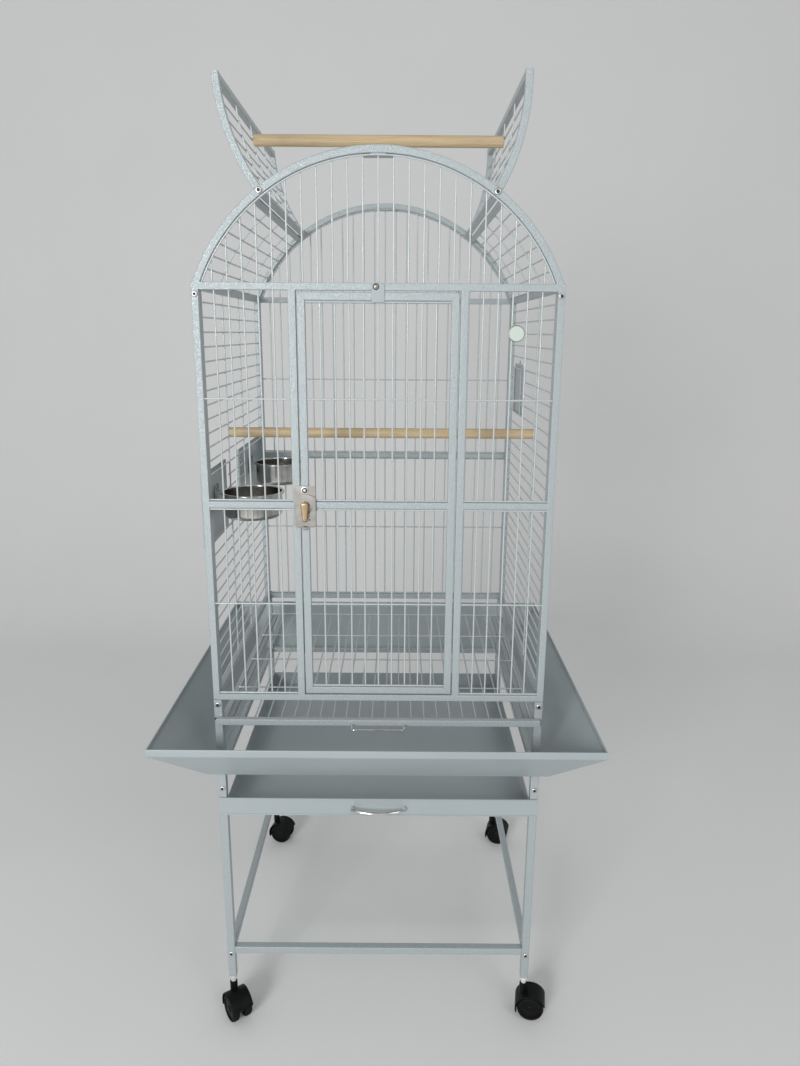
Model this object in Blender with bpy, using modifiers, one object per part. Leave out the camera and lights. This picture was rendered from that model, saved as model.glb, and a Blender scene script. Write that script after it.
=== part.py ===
"""Play top bird cage on a wheeled stand.

Metres, +Z up. The origin is on the floor, under the middle of the cage. The front faces -Y.
"""
import math

import bmesh
import bpy
from mathutils import Matrix, Vector

# Cage body
CAGE_WIDTH = 0.508
CAGE_DEPTH = 0.495
FRAME_TUBE = 0.010
WIRE = 0.0025
WIRE_PITCH = 0.0205
PANEL_BOTTOM = 0.587
CAGE_RISE = 0.6103
MID_RAIL_RISE = 0.3075
ARCH_RISE = 0.1772
ARCH_SEGMENTS = 32
CURVE_STEPS = 8
SMALL_SIDES = 12
FRONT_UPRIGHT_INSET = 0.160
REAR_UPRIGHT_INSET = 0.211
CLEARANCE = 0.0003
SHARP_ANGLE = math.radians(35)

# Door
DOOR_WIDTH = 0.222
DOOR_SIDE_GAP = 0.0015
DOOR_END_GAP = 0.002
DOOR_BAR = 0.011
STILE_WIDTH = 0.011
DOOR_PIN_INSET = 0.003
HINGE_PIN_RADIUS = 0.002
HINGE_PIN_DEPTH = 0.008

# Door lock and stop tab
LOCK_WIDTH = 0.031
LOCK_HEIGHT = 0.061
LOCK_DROP = 0.002
LOCK_SHEET = 0.0015
LOCK_CORNER = 0.0039
COVER_ARC_RADIUS = 0.026
LOCK_SHAFT_RADIUS = 0.003
KNOB_RISE = 0.0025
KNOB_THICKNESS = 0.007
KNOB_ROUND_RADIUS = 0.0058
KNOB_GRIP_RADIUS = 0.0038
KNOB_GRIP_LENGTH = 0.0195
TONGUE_LENGTH = 0.018
TONGUE_WIDTH = 0.008
TONGUE_THICKNESS = 0.002
STOP_TAB_WIDTH = 0.0175
STOP_TAB_HEIGHT = 0.024
STOP_RIVET_RADIUS = 0.0044
STOP_RIVET_OFFSET = 0.003
BADGE_RADIUS = 0.0115
BADGE_INSET = 0.064
BADGE_DROP = 0.0603

# Roof
FLAP_PIVOT_ANGLE = math.radians(36.3)
FLAP_TIP_ANGLE = math.radians(2.6)
LEFT_FLAP_OPEN = math.radians(91.0)
RIGHT_FLAP_OPEN = math.radians(84.5)
ROOF_PIVOT_GAP = 0.0006
ROOF_ARC_WIRES = 3
PIVOT_HEAD_RADIUS = 0.0045
PIVOT_HEAD_THICKNESS = 0.0025
CROWN_STOP_WIDTH = 0.040
CROWN_STOP_THICKNESS = 0.0025
CROWN_STOP_REACH = 0.008
CROWN_WEB_ROOT = 0.008

# Perches
INNER_PERCH_RADIUS = 0.008
INNER_PERCH_RISE = 0.0845
INNER_PERCH_INSET = 0.168
TOP_PERCH_RADIUS = 0.009
TOP_PERCH_RISE = 0.113

# Feeder doors, cups and side hatch
SHEET = 0.0012
PLATE_OVERLAP = 0.004
FEEDER_DROP = 0.0659
FEEDER_ROWS = 5
FRONT_FEEDER_SPAN = (0.0105, 0.167)
REAR_FEEDER_SPAN = (0.223, 0.018)
FRONT_CUP_INSET = 0.086
REAR_CUP_INSET = 0.120
CUP_INSET = 0.057
CUP_RIM_RADIUS = 0.0493
CUP_RIM_RISE = 0.0704
CUP_DEPTH = 0.040
CUP_BODY_RADIUS = 0.0455
CUP_BASE_RADIUS = 0.0419
CUP_BASE_CURVE = 0.008
CUP_WALL = 0.001
CUP_SIDES = 24
RING_THICKNESS = 0.003
RING_ARM_HALF = 0.0123
RING_ARM_RECESS = 0.0003
RING_FOOT_HALF = 0.0148
RING_FOOT_DROP = 0.020
BARREL_RADIUS = 0.0025
HATCH_ROWS = (8, 12)
HATCH_SPAN = (0.155, 0.068)
TURN_BUTTON_LENGTH = 0.018
TURN_BUTTON_WIDTH = 0.008
BUTTON_RIVET_RADIUS = 0.0028
BUTTON_RIVET_HEIGHT = 0.003

# Stand
LEG_TUBE = 0.0127
LEG_BOTTOM = 0.075
LOWER_RAIL_RISE = 0.053
UPPER_RAIL_DROP = 0.119
SIDE_RAIL_TUBE = 0.0114
SIDE_RAIL_INSET = 0.0006
RUNNER_WIDTH = 0.012
RUNNER_SHEET = 0.0015

# Tray and grate
TRAY_DROP = 0.198
TRAY_HEIGHT = 0.029
PULL_SPAN = 0.082
PULL_REACH = 0.021
PULL_WIRE_RADIUS = 0.003
PULL_FOOT = 0.0066
PULL_FULLNESS = 0.6
GRATE_DROP = 0.0375
GRATE_BAR_WIDTH = 0.498
GRATE_PITCH = 0.020
GRATE_CROSS_WIRES = 3
GRATE_BORDER = 0.006
GRATE_HANDLE_SPAN = 0.080
GRATE_HANDLE_REACH = 0.020

# Seed skirt
SKIRT_DROP = 0.122
SKIRT_FOOT = 0.011
SKIRT_REACH = 0.0827
SKIRT_RISE = 0.071
SKIRT_LIP = 0.0115

# Casters
WHEEL_RADIUS = 0.0225
WHEEL_THICKNESS = 0.0125
WHEEL_SHOULDER = 0.0192
WHEEL_EDGE = 0.0038
WHEEL_SIDES = 20
WHEEL_SPACING = 0.011
AXLE_RADIUS = 0.004
TRAIL = 0.0135
TRAIL_DIRECTIONS = {
    "front_left": math.radians(-55.0),
    "front_right": math.radians(-10.0),
    "rear_left": math.radians(-15.0),
    "rear_right": math.radians(-15.0),
}
FENDER_GAP = 0.0015
FENDER_THICKNESS = 0.002
FENDER_FIRST = math.radians(20)
FENDER_LAST = math.radians(200)
KEEL_HALF = 0.010
SOCKET_HEIGHT = 0.012
SOCKET_NOSE_RADIUS = 0.0044

HALF_WIDTH = CAGE_WIDTH / 2
HALF_DEPTH = CAGE_DEPTH / 2
FRONT = -HALF_DEPTH
TOP_BEAM_HEIGHT = PANEL_BOTTOM + CAGE_RISE
MID_RAIL_HEIGHT = PANEL_BOTTOM + MID_RAIL_RISE
TUCK = 0.3 * FRAME_TUBE
BORDER_STRIP = 0.15 * FRAME_TUBE
ARCH_OUTER = (HALF_WIDTH ** 2 + ARCH_RISE ** 2) / (2 * ARCH_RISE)
ARCH_INNER = ARCH_OUTER - FRAME_TUBE
ARCH_MIDDLE = ARCH_OUTER - FRAME_TUBE / 2
ARCH_CENTRE_HEIGHT = TOP_BEAM_HEIGHT + ARCH_RISE - ARCH_OUTER
TOP_BEAM_TOP = TOP_BEAM_HEIGHT + FRAME_TUBE / 2
TOP_BEAM_UNDERSIDE = TOP_BEAM_HEIGHT - FRAME_TUBE / 2
BOTTOM_BEAM_TOP = PANEL_BOTTOM + FRAME_TUBE
LOWER_CROSS_WIRE = (BOTTOM_BEAM_TOP + MID_RAIL_HEIGHT - FRAME_TUBE / 2) / 2
UPPER_CROSS_WIRE = (MID_RAIL_HEIGHT + FRAME_TUBE / 2 + TOP_BEAM_UNDERSIDE) / 2
DOORWAY_HALF = DOOR_WIDTH / 2 + DOOR_SIDE_GAP
STILE_OUTER = DOORWAY_HALF + STILE_WIDTH
DOOR_PIN = Vector((DOOR_WIDTH / 2 - DOOR_PIN_INSET, FRONT + DOOR_PIN_INSET, 0.0))
LOCK_X = -(DOOR_WIDTH / 2 - DOOR_BAR / 2)
FLAP_PIVOT_X = ARCH_MIDDLE * math.sin(FLAP_PIVOT_ANGLE)
FLAP_PIVOT_HEIGHT = ARCH_CENTRE_HEIGHT + ARCH_MIDDLE * math.cos(FLAP_PIVOT_ANGLE)
SIDE_UPRIGHTS = (FRONT + FRONT_UPRIGHT_INSET, HALF_DEPTH - REAR_UPRIGHT_INSET)
BADGE_X = HALF_WIDTH - BADGE_INSET
CUP_X = CUP_INSET - HALF_WIDTH
LOCK_CENTRE_HEIGHT = MID_RAIL_HEIGHT - LOCK_DROP
KNOB_HEIGHT = LOCK_CENTRE_HEIGHT + KNOB_RISE
BADGE_HEIGHT = TOP_BEAM_HEIGHT - BADGE_DROP
INNER_PERCH_HEIGHT = MID_RAIL_HEIGHT + INNER_PERCH_RISE
TOP_PERCH_HEIGHT = FLAP_PIVOT_HEIGHT + TOP_PERCH_RISE
FEEDER_ROW = MID_RAIL_HEIGHT - FEEDER_DROP
CUP_RIM_HEIGHT = FEEDER_ROW + CUP_RIM_RISE
LEG_INNER = HALF_WIDTH - LEG_TUBE
LOWER_RAIL_HEIGHT = LEG_BOTTOM + LOWER_RAIL_RISE
UPPER_RAIL_HEIGHT = PANEL_BOTTOM - UPPER_RAIL_DROP
TRAY_BOTTOM = PANEL_BOTTOM - TRAY_DROP
GRATE_BOTTOM = PANEL_BOTTOM - GRATE_DROP
SKIRT_BOTTOM = PANEL_BOTTOM - SKIRT_DROP
SKIRT_LIP_BOTTOM = SKIRT_BOTTOM + SKIRT_RISE
SKIRT_LIP_TOP = SKIRT_LIP_BOTTOM + SKIRT_LIP

POWDER_COAT = ((0.49, 0.55, 0.58, 1.0), 0.55, 0.2)
SHEET_PAINT = ((0.45, 0.50, 0.53, 1.0), 0.35, 0.1)
STEEL = ((0.55, 0.54, 0.52, 1.0), 0.30, 1.0)
STAINLESS = ((0.62, 0.60, 0.58, 1.0), 0.15, 1.0)
BRASS = ((0.45, 0.34, 0.22, 1.0), 0.30, 1.0)
PINE = ((0.72, 0.55, 0.36, 1.0), 0.60, 0.0)
BLACK_PLASTIC = ((0.012, 0.013, 0.014, 1.0), 0.45, 0.0)
WHITE_PLASTIC = ((0.75, 0.75, 0.74, 1.0), 0.40, 0.0)
BLANK_BADGE = ((0.62, 0.74, 0.66, 1.0), 0.40, 0.0)

FACING = {
    "X": Matrix(((0, 0, 1, 0), (1, 0, 0, 0), (0, 1, 0, 0), (0, 0, 0, 1))),
    "Y": Matrix(((1, 0, 0, 0), (0, 0, -1, 0), (0, 1, 0, 0), (0, 0, 0, 1))),
    "Z": Matrix.Identity(4),
}


def start_scene():
    """Empty the scene and return the collection that holds the cage."""
    for obj in list(bpy.data.objects):
        bpy.data.objects.remove(obj, do_unlink=True)
    collection = bpy.data.collections.new("play_top_bird_cage")
    bpy.context.scene.collection.children.link(collection)
    return collection


PARTS = start_scene()


def own_material(obj, finish):
    """Give an object its own Principled material."""
    colour, roughness, metallic = finish
    material = bpy.data.materials.new(obj.name + "_finish")
    material.use_nodes = True
    shader = material.node_tree.nodes["Principled BSDF"]
    shader.inputs["Base Color"].default_value = colour
    shader.inputs["Roughness"].default_value = roughness
    shader.inputs["Metallic"].default_value = metallic
    obj.data.materials.clear()
    obj.data.materials.append(material)


def add_mesh(name, shape):
    """Turn a bmesh into an object of the cage."""
    mesh = bpy.data.meshes.new(name)
    shape.to_mesh(mesh)
    shape.free()
    obj = bpy.data.objects.new(name, mesh)
    PARTS.objects.link(obj)
    return obj


def evaluated_mesh(obj):
    """The object's mesh with its modifiers applied."""
    bpy.context.view_layer.update()
    depsgraph = bpy.context.evaluated_depsgraph_get()
    return bpy.data.meshes.new_from_object(obj.evaluated_get(depsgraph))


def apply_modifiers(obj):
    """Replace the object's mesh with its evaluated one."""
    mesh = evaluated_mesh(obj)
    obj.modifiers.clear()
    obj.data = mesh
    return obj


def combine(target, tools, operation):
    """Join tools to a target, or cut them from it, and remove them."""
    for tool in tools:
        modifier = target.modifiers.new(tool.name, "BOOLEAN")
        modifier.operation = operation
        modifier.solver = "EXACT"
        modifier.object = tool
    apply_modifiers(target)
    for tool in tools:
        bpy.data.objects.remove(tool, do_unlink=True)
    return target


def join(target, *tools):
    """Weld tools to a target."""
    return combine(target, tools, "UNION")


def cut(target, *tools):
    """Cut tools from a target."""
    return combine(target, tools, "DIFFERENCE")


def box(name, low, high):
    """A box between two corners."""
    shape = bmesh.new()
    bmesh.ops.create_cube(shape, size=1.0)
    low = Vector(low)
    high = Vector(high)
    size = high - low
    placing = Matrix.Translation((low + high) / 2) @ Matrix.Diagonal((size.x, size.y, size.z, 1.0))
    bmesh.ops.transform(shape, matrix=placing, verts=shape.verts)
    return add_mesh(name, shape)


def rod(name, start, end, radius, sides=16):
    """A round rod between two points."""
    start = Vector(start)
    end = Vector(end)
    run = end - start
    shape = bmesh.new()
    bmesh.ops.create_cone(
        shape, cap_ends=True, segments=sides, radius1=radius, radius2=radius, depth=run.length
    )
    turn = run.to_track_quat("Z", "Y").to_matrix().to_4x4()
    placing = Matrix.Translation((start + end) / 2) @ turn
    bmesh.ops.transform(shape, matrix=placing, verts=shape.verts)
    return add_mesh(name, shape)


def curve_solid(name, curve, placing):
    """Turn a curve into a closed mesh object."""
    holder = bpy.data.objects.new(name + "_curve", curve)
    PARTS.objects.link(holder)
    mesh = evaluated_mesh(holder)
    bpy.data.objects.remove(holder, do_unlink=True)
    shape = bmesh.new()
    shape.from_mesh(mesh)
    bmesh.ops.remove_doubles(shape, verts=shape.verts, dist=1e-6)
    bmesh.ops.transform(shape, matrix=placing, verts=shape.verts)
    bmesh.ops.recalc_face_normals(shape, faces=shape.faces)
    bpy.data.meshes.remove(mesh)
    return add_mesh(name, shape)


def plate(name, outlines, thickness, facing, level):
    """A flat outline with holes, extruded across its own plane at a level."""
    curve = bpy.data.curves.new(name, "CURVE")
    curve.dimensions = "2D"
    curve.fill_mode = "BOTH"
    curve.extrude = thickness / 2
    for outline in outlines:
        spline = curve.splines.new("POLY")
        spline.points.add(len(outline) - 1)
        for point, (across, along) in zip(spline.points, outline):
            point.co = (across, along, 0.0, 1.0)
        spline.use_cyclic_u = True
    normal = {"X": Vector((1, 0, 0)), "Y": Vector((0, 1, 0)), "Z": Vector((0, 0, 1))}[facing]
    return curve_solid(name, curve, Matrix.Translation(normal * level) @ FACING[facing])


def tube_frame(name, outline, windows, facing, level):
    """A flat frame of square tube: an outline with its windows cut out."""
    frame = plate(name, [outline], FRAME_TUBE, facing, level)
    for window in windows:
        cut(frame, plate("window", [window], 2 * FRAME_TUBE, facing, level))
    return frame


def wire_loop(name, points, radius):
    """A bent wire through points, with closed ends."""
    curve = bpy.data.curves.new(name, "CURVE")
    curve.dimensions = "3D"
    curve.bevel_depth = radius
    curve.bevel_resolution = 2
    curve.use_fill_caps = True
    spline = curve.splines.new("POLY")
    spline.points.add(len(points) - 1)
    for point, place in zip(spline.points, points):
        point.co = (*place, 1.0)
    return curve_solid(name, curve, Matrix.Identity(4))


def turned(name, profile, centre, axis, steps, closed=False):
    """A turned piece: (radius, height) pairs, top to bottom on the outside, about an axis."""
    shape = bmesh.new()
    corners = [shape.verts.new((radius, 0.0, height)) for radius, height in profile]
    pairs = list(zip(corners, corners[1:]))
    if closed:
        pairs.append((corners[-1], corners[0]))
    for first, second in pairs:
        if first.co.x > 0.0 or second.co.x > 0.0:
            shape.edges.new((first, second))
    obj = add_mesh(name, shape)
    screw = obj.modifiers.new("turn", "SCREW")
    screw.steps = steps
    screw.render_steps = steps
    screw.use_merge_vertices = True
    screw.merge_threshold = 1e-5
    apply_modifiers(obj)
    turn = Vector(axis).to_track_quat("Z", "Y").to_matrix().to_4x4()
    obj.data.transform(Matrix.Translation(Vector(centre)) @ turn)
    return obj


def finish(obj, look, origin=None):
    """Set a piece's material and, for one that moves, its origin on the joint's axis."""
    if origin is not None:
        origin = Vector(origin)
        obj.data.transform(Matrix.Translation(-origin))
        obj.location = origin
    own_material(obj, look)
    for polygon in obj.data.polygons:
        polygon.use_smooth = True
    obj.data.set_sharp_from_angle(angle=SHARP_ANGLE)
    return obj


def rectangle(left, right, bottom, top):
    """Corners of a rectangle."""
    return [(left, bottom), (right, bottom), (right, top), (left, top)]


def circle(centre, radius, sides):
    """Corners of a circle."""
    return [(centre[0] + radius * math.cos(turn * math.tau / sides),
             centre[1] + radius * math.sin(turn * math.tau / sides)) for turn in range(sides)]


def wires_between(low, high, centres):
    """The clear spans between two edges and the wires between them."""
    edges = [low]
    for centre in centres:
        edges += [centre - WIRE / 2, centre + WIRE / 2]
    edges.append(high)
    return list(zip(edges[::2], edges[1::2]))


def even_centres(low, high, count):
    """Centres that divide a span evenly."""
    step = (high - low) / (count + 1)
    return [low + step * (index + 1) for index in range(count)]


def strip_edges(spans, border):
    """Edges of the strips and gaps of a lattice, with a border strip at each end."""
    edges = [spans[0][0] - border]
    for low, high in spans:
        edges += [low, high]
    return edges + [spans[-1][1] + border]


def lattice(columns, rows, place, border=BORDER_STRIP):
    """Crossing wires: a grid of strips and gaps, with the gaps left out.

    columns and rows are the clear spans, and place puts a grid point in space.
    """
    column_edges = strip_edges(columns, border)
    row_edges = strip_edges(rows, border)
    across = len(column_edges) - 1
    along = len(row_edges) - 1
    shape = bmesh.new()
    bmesh.ops.create_grid(shape, x_segments=across, y_segments=along, size=0.5)
    gaps = []
    for face in shape.faces:
        middle = face.calc_center_median()
        column = int((middle.x + 0.5) * across)
        row = int((middle.y + 0.5) * along)
        if column % 2 == 1 and row % 2 == 1:
            gaps.append(face)
    bmesh.ops.delete(shape, geom=gaps, context="FACES")
    for vertex in shape.verts:
        column = round((vertex.co.x + 0.5) * across)
        row = round((vertex.co.y + 0.5) * along)
        vertex.co = place(column_edges[column], row_edges[row])
    bmesh.ops.recalc_face_normals(shape, faces=shape.faces)
    wires = add_mesh("wires", shape)
    thicken = wires.modifiers.new("wire", "SOLIDIFY")
    thicken.thickness = WIRE
    thicken.offset = 0.0
    apply_modifiers(wires)
    shape = bmesh.new()
    shape.from_mesh(wires.data)
    bmesh.ops.recalc_face_normals(shape, faces=shape.faces)
    shape.to_mesh(wires.data)
    shape.free()
    return wires


def upright_lattice(columns, rows, level):
    """Crossing wires in a plane that faces the front."""
    return lattice(columns, rows, lambda u, v: Vector((u, level, v)))


def arc_points(radius, start, end, segments):
    """Points on the roof's arc, with angles from the vertical, as (x, z)."""
    points = []
    for index in range(segments + 1):
        angle = start + (end - start) * index / segments
        points.append((radius * math.sin(angle), ARCH_CENTRE_HEIGHT + radius * math.cos(angle)))
    return points


def arch_half_angle(radius, height):
    """Angle from the vertical at which an arc of the roof meets a height."""
    return math.acos((height - ARCH_CENTRE_HEIGHT) / radius)


def arch_height(radius, across):
    """Height of an arc of the roof above a place across it."""
    return ARCH_CENTRE_HEIGHT + math.sqrt(radius ** 2 - across ** 2)


def arched_outline():
    """Outline of a front or rear panel: straight posts under a round arch."""
    half_angle = arch_half_angle(ARCH_OUTER, TOP_BEAM_HEIGHT)
    arc = arc_points(ARCH_OUTER, half_angle, -half_angle, ARCH_SEGMENTS)
    return [(-HALF_WIDTH, PANEL_BOTTOM), (HALF_WIDTH, PANEL_BOTTOM)] + arc


def arch_window():
    """The opening between the top beam and the arch."""
    half_angle = arch_half_angle(ARCH_INNER, TOP_BEAM_TOP)
    return arc_points(ARCH_INNER, half_angle, -half_angle, ARCH_SEGMENTS)


def arch_wires(level):
    """The upright wires between the top beam and the arch."""
    radius = ARCH_INNER + TUCK
    bottom = TOP_BEAM_TOP - TUCK
    reach = radius * math.sin(arch_half_angle(radius, bottom + WIRE))

    def place(across, rise):
        top = max(arch_height(radius, across), bottom + WIRE / 4)
        share = min(max(rise, 0.0), 1.0)
        return Vector((across, level, bottom + share * (top - bottom) + rise - share))

    columns = wires_between(-reach, reach, panel_wire_centres())
    return lattice(columns, [(0.0, 1.0)], place)


def panel_wire_centres():
    """Places of the upright wires across the whole width."""
    last = int(HALF_WIDTH / WIRE_PITCH) - 1
    return [WIRE_PITCH * index for index in range(-last, last + 1)]


def panel_rows(bottom, top):
    """Clear heights above or below the mid rail, split by one cross wire."""
    cross_wire = LOWER_CROSS_WIRE if top < MID_RAIL_HEIGHT else UPPER_CROSS_WIRE
    return wires_between(bottom - TUCK, top + TUCK, [cross_wire])


def drill(target, start, end, radius):
    """Cut a round hole."""
    return cut(target, rod("drill", start, end, radius))


def crown_stop(panel, inner_face, inward):
    """Weld the plate under the arch's crown that the closed flaps rest on."""
    half = CROWN_STOP_WIDTH / 2
    top = arch_height(ARCH_INNER, half) - CLEARANCE
    bottom = top - CROWN_STOP_THICKNESS
    deep = inner_face + inward * CROWN_STOP_REACH
    root = inner_face - inward * FRAME_TUBE / 2
    edges = sorted((deep, root))
    shelf = box("crown_stop", (-half, edges[0], bottom), (half, edges[1], top))
    edges = sorted((inner_face - inward * CROWN_WEB_ROOT, root + inward * WIRE))
    web = box("crown_web", (-half / 2, edges[0], bottom), (half / 2, edges[1], top + TUCK))
    return join(panel, join(shelf, web))


def pivot_holes(panel, inner_face, inward):
    """Cut the holes for the roof flaps' pivots through a panel's arch."""
    outside = inner_face - inward * (FRAME_TUBE + WIRE)
    inside = inner_face + inward * WIRE
    for side in (-1, 1):
        place = (side * FLAP_PIVOT_X, 0.0, FLAP_PIVOT_HEIGHT)
        start = (place[0], outside, place[2])
        end = (place[0], inside, place[2])
        drill(panel, start, end, HINGE_PIN_RADIUS + CLEARANCE)
    return panel


def section_columns(inner, outer):
    """Clear spans across a fixed section of the front, between stile and post."""
    centres = even_centres(inner, outer, round((outer - inner) / WIRE_PITCH) - 1)
    return wires_between(inner - TUCK, outer + TUCK, centres)


def build_front_panel():
    """Front panel: posts, beams, stiles, mid rails, arch and their welded wires."""
    inner_post = HALF_WIDTH - FRAME_TUBE
    mid_low = MID_RAIL_HEIGHT - FRAME_TUBE / 2
    mid_high = MID_RAIL_HEIGHT + FRAME_TUBE / 2
    windows = [
        rectangle(-DOORWAY_HALF, DOORWAY_HALF, BOTTOM_BEAM_TOP, TOP_BEAM_UNDERSIDE),
        arch_window(),
    ]
    for bottom, top in ((BOTTOM_BEAM_TOP, mid_low), (mid_high, TOP_BEAM_UNDERSIDE)):
        windows.append(rectangle(-inner_post, -STILE_OUTER, bottom, top))
        windows.append(rectangle(STILE_OUTER, inner_post, bottom, top))
    level = FRONT + FRAME_TUBE / 2
    frame = tube_frame("front_panel", arched_outline(), windows, "Y", level)

    right = section_columns(STILE_OUTER, inner_post)
    left = [(-high, -low) for low, high in reversed(right)]
    for bottom, top in ((BOTTOM_BEAM_TOP, mid_low), (mid_high, TOP_BEAM_UNDERSIDE)):
        for columns in (left, right):
            join(frame, upright_lattice(columns, panel_rows(bottom, top), level))
    join(frame, arch_wires(level))

    crown_stop(frame, FRONT + FRAME_TUBE, 1)
    pivot_holes(frame, FRONT + FRAME_TUBE, 1)
    hole = HINGE_PIN_RADIUS + CLEARANCE
    for edge, away in ((BOTTOM_BEAM_TOP, -1), (TOP_BEAM_UNDERSIDE, 1)):
        start = (DOOR_PIN.x, DOOR_PIN.y, edge - away * WIRE)
        end = (DOOR_PIN.x, DOOR_PIN.y, edge + away * HINGE_PIN_DEPTH)
        drill(frame, start, end, hole)
    return finish(frame, POWDER_COAT)


def build_rear_panel():
    """Rear panel: posts, three rails, arch and their welded wires."""
    inner_post = HALF_WIDTH - FRAME_TUBE
    mid_low = MID_RAIL_HEIGHT - FRAME_TUBE / 2
    mid_high = MID_RAIL_HEIGHT + FRAME_TUBE / 2
    windows = [
        rectangle(-inner_post, inner_post, BOTTOM_BEAM_TOP, mid_low),
        rectangle(-inner_post, inner_post, mid_high, TOP_BEAM_UNDERSIDE),
        arch_window(),
    ]
    level = HALF_DEPTH - FRAME_TUBE / 2
    frame = tube_frame("rear_panel", arched_outline(), windows, "Y", level)
    columns = wires_between(-inner_post - TUCK, inner_post + TUCK, panel_wire_centres())
    for bottom, top in ((BOTTOM_BEAM_TOP, mid_low), (mid_high, TOP_BEAM_UNDERSIDE)):
        join(frame, upright_lattice(columns, panel_rows(bottom, top), level))
    join(frame, arch_wires(level))
    crown_stop(frame, HALF_DEPTH - FRAME_TUBE, -1)
    pivot_holes(frame, HALF_DEPTH - FRAME_TUBE, -1)
    return finish(frame, POWDER_COAT)


def side_row_centres():
    """Heights of the side panels' level wires, spaced from the feeder doors' lower wire."""
    below = int((FEEDER_ROW - BOTTOM_BEAM_TOP - WIRE) / WIRE_PITCH)
    above = int((TOP_BEAM_UNDERSIDE - FEEDER_ROW - WIRE) / WIRE_PITCH)
    return [FEEDER_ROW + WIRE_PITCH * index for index in range(-below, above + 1)]


def build_side_panel(name, side, openings):
    """Side panel: a tube frame with level wires, and openings framed by wires.

    Each opening is (lowest wire, highest wire, low edge, high edge).
    """
    front = FRONT + FRAME_TUBE + CLEARANCE
    rear = -front
    low_window = front + FRAME_TUBE
    high_window = rear - FRAME_TUBE
    level = side * (HALF_WIDTH - FRAME_TUBE / 2)
    outline = rectangle(front, rear, PANEL_BOTTOM, TOP_BEAM_TOP)
    window = rectangle(low_window, high_window, BOTTOM_BEAM_TOP, TOP_BEAM_UNDERSIDE)
    frame = tube_frame(name, outline, [window], "X", level)

    rows = wires_between(BOTTOM_BEAM_TOP - TUCK, TOP_BEAM_UNDERSIDE + TUCK, side_row_centres())
    columns = wires_between(low_window - TUCK, high_window + TUCK, SIDE_UPRIGHTS)
    wires = lattice(columns, rows, lambda u, v: Vector((level, u, v)))
    half = WIRE / 2
    for bottom, top, low, high in openings:
        left = max(low + half, low_window - TUCK)
        right = min(high - half, high_window + TUCK)
        cut(wires, box("opening", (level - WIRE, left, bottom + half),
                       (level + WIRE, right, top - half)))
        for edge in (low, high):
            if low_window < edge < high_window and edge not in SIDE_UPRIGHTS:
                join(wires, box("framing", (level - half * 0.9, edge - half, bottom),
                                (level + half * 0.9, edge + half, top)))
    join(frame, wires)
    return finish(frame, POWDER_COAT)


def feeder_openings():
    """Openings of the left side panel behind the two feeder doors."""
    bottom = FEEDER_ROW
    top = FEEDER_ROW + FEEDER_ROWS * WIRE_PITCH
    return [(bottom, top, FRONT, SIDE_UPRIGHTS[0]), (bottom, top, SIDE_UPRIGHTS[1], HALF_DEPTH)]


def hatch_opening():
    """Opening of the right side panel behind the hatch."""
    bottom, top = (FEEDER_ROW + WIRE_PITCH * row for row in HATCH_ROWS)
    low, high = (HALF_DEPTH - inset for inset in HATCH_SPAN)
    return (bottom, top, low, high)


def curved_lattice(start, end, side, half_length, border):
    """Wires on the roof's arc between two angles."""
    low = start * ARCH_MIDDLE
    high = end * ARCH_MIDDLE
    count = round((high - low) / WIRE_PITCH) - 1
    columns = wires_between(low, high, even_centres(low, high, count))
    rows = wires_between(-half_length, half_length,
                         even_centres(-half_length, half_length, ROOF_ARC_WIRES))

    def place(arc, along):
        angle = side * arc / ARCH_MIDDLE
        return Vector((ARCH_MIDDLE * math.sin(angle), along,
                       ARCH_CENTRE_HEIGHT + ARCH_MIDDLE * math.cos(angle)))

    return lattice(columns, rows, place, border)


def arc_band(name, inner, outer, start, end, low, high, segments):
    """A curved bar of the roof between two angles and two places along the cage."""
    outline = arc_points(outer, start, end, segments) + arc_points(inner, end, start, segments)
    return plate(name, [outline], high - low, "Y", (low + high) / 2)


def pivot_swing():
    """Angle that the square rail needs clear of its own pivot."""
    return (FRAME_TUBE / math.sqrt(2) + ROOF_PIVOT_GAP) / ARCH_MIDDLE


def build_roof_side(name, side):
    """Fixed curved side of the roof with the rail that the flap folds beside."""
    tube_angle = FRAME_TUBE / ARCH_MIDDLE
    half_length = HALF_DEPTH - FRAME_TUBE - CLEARANCE
    rail_start = FLAP_PIVOT_ANGLE + pivot_swing()
    rail_end = rail_start + tube_angle
    low = arch_half_angle(ARCH_MIDDLE - WIRE / 2, TOP_BEAM_TOP + CLEARANCE) - WIRE / ARCH_MIDDLE
    high = rail_end - TUCK / ARCH_MIDDLE
    rail = arc_band(name, ARCH_INNER, ARCH_OUTER, side * rail_start, side * rail_end,
                    -half_length, half_length, 1)
    wires = curved_lattice(high, low, side, half_length - WIRE, WIRE)
    return finish(join(rail, wires), POWDER_COAT)


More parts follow.
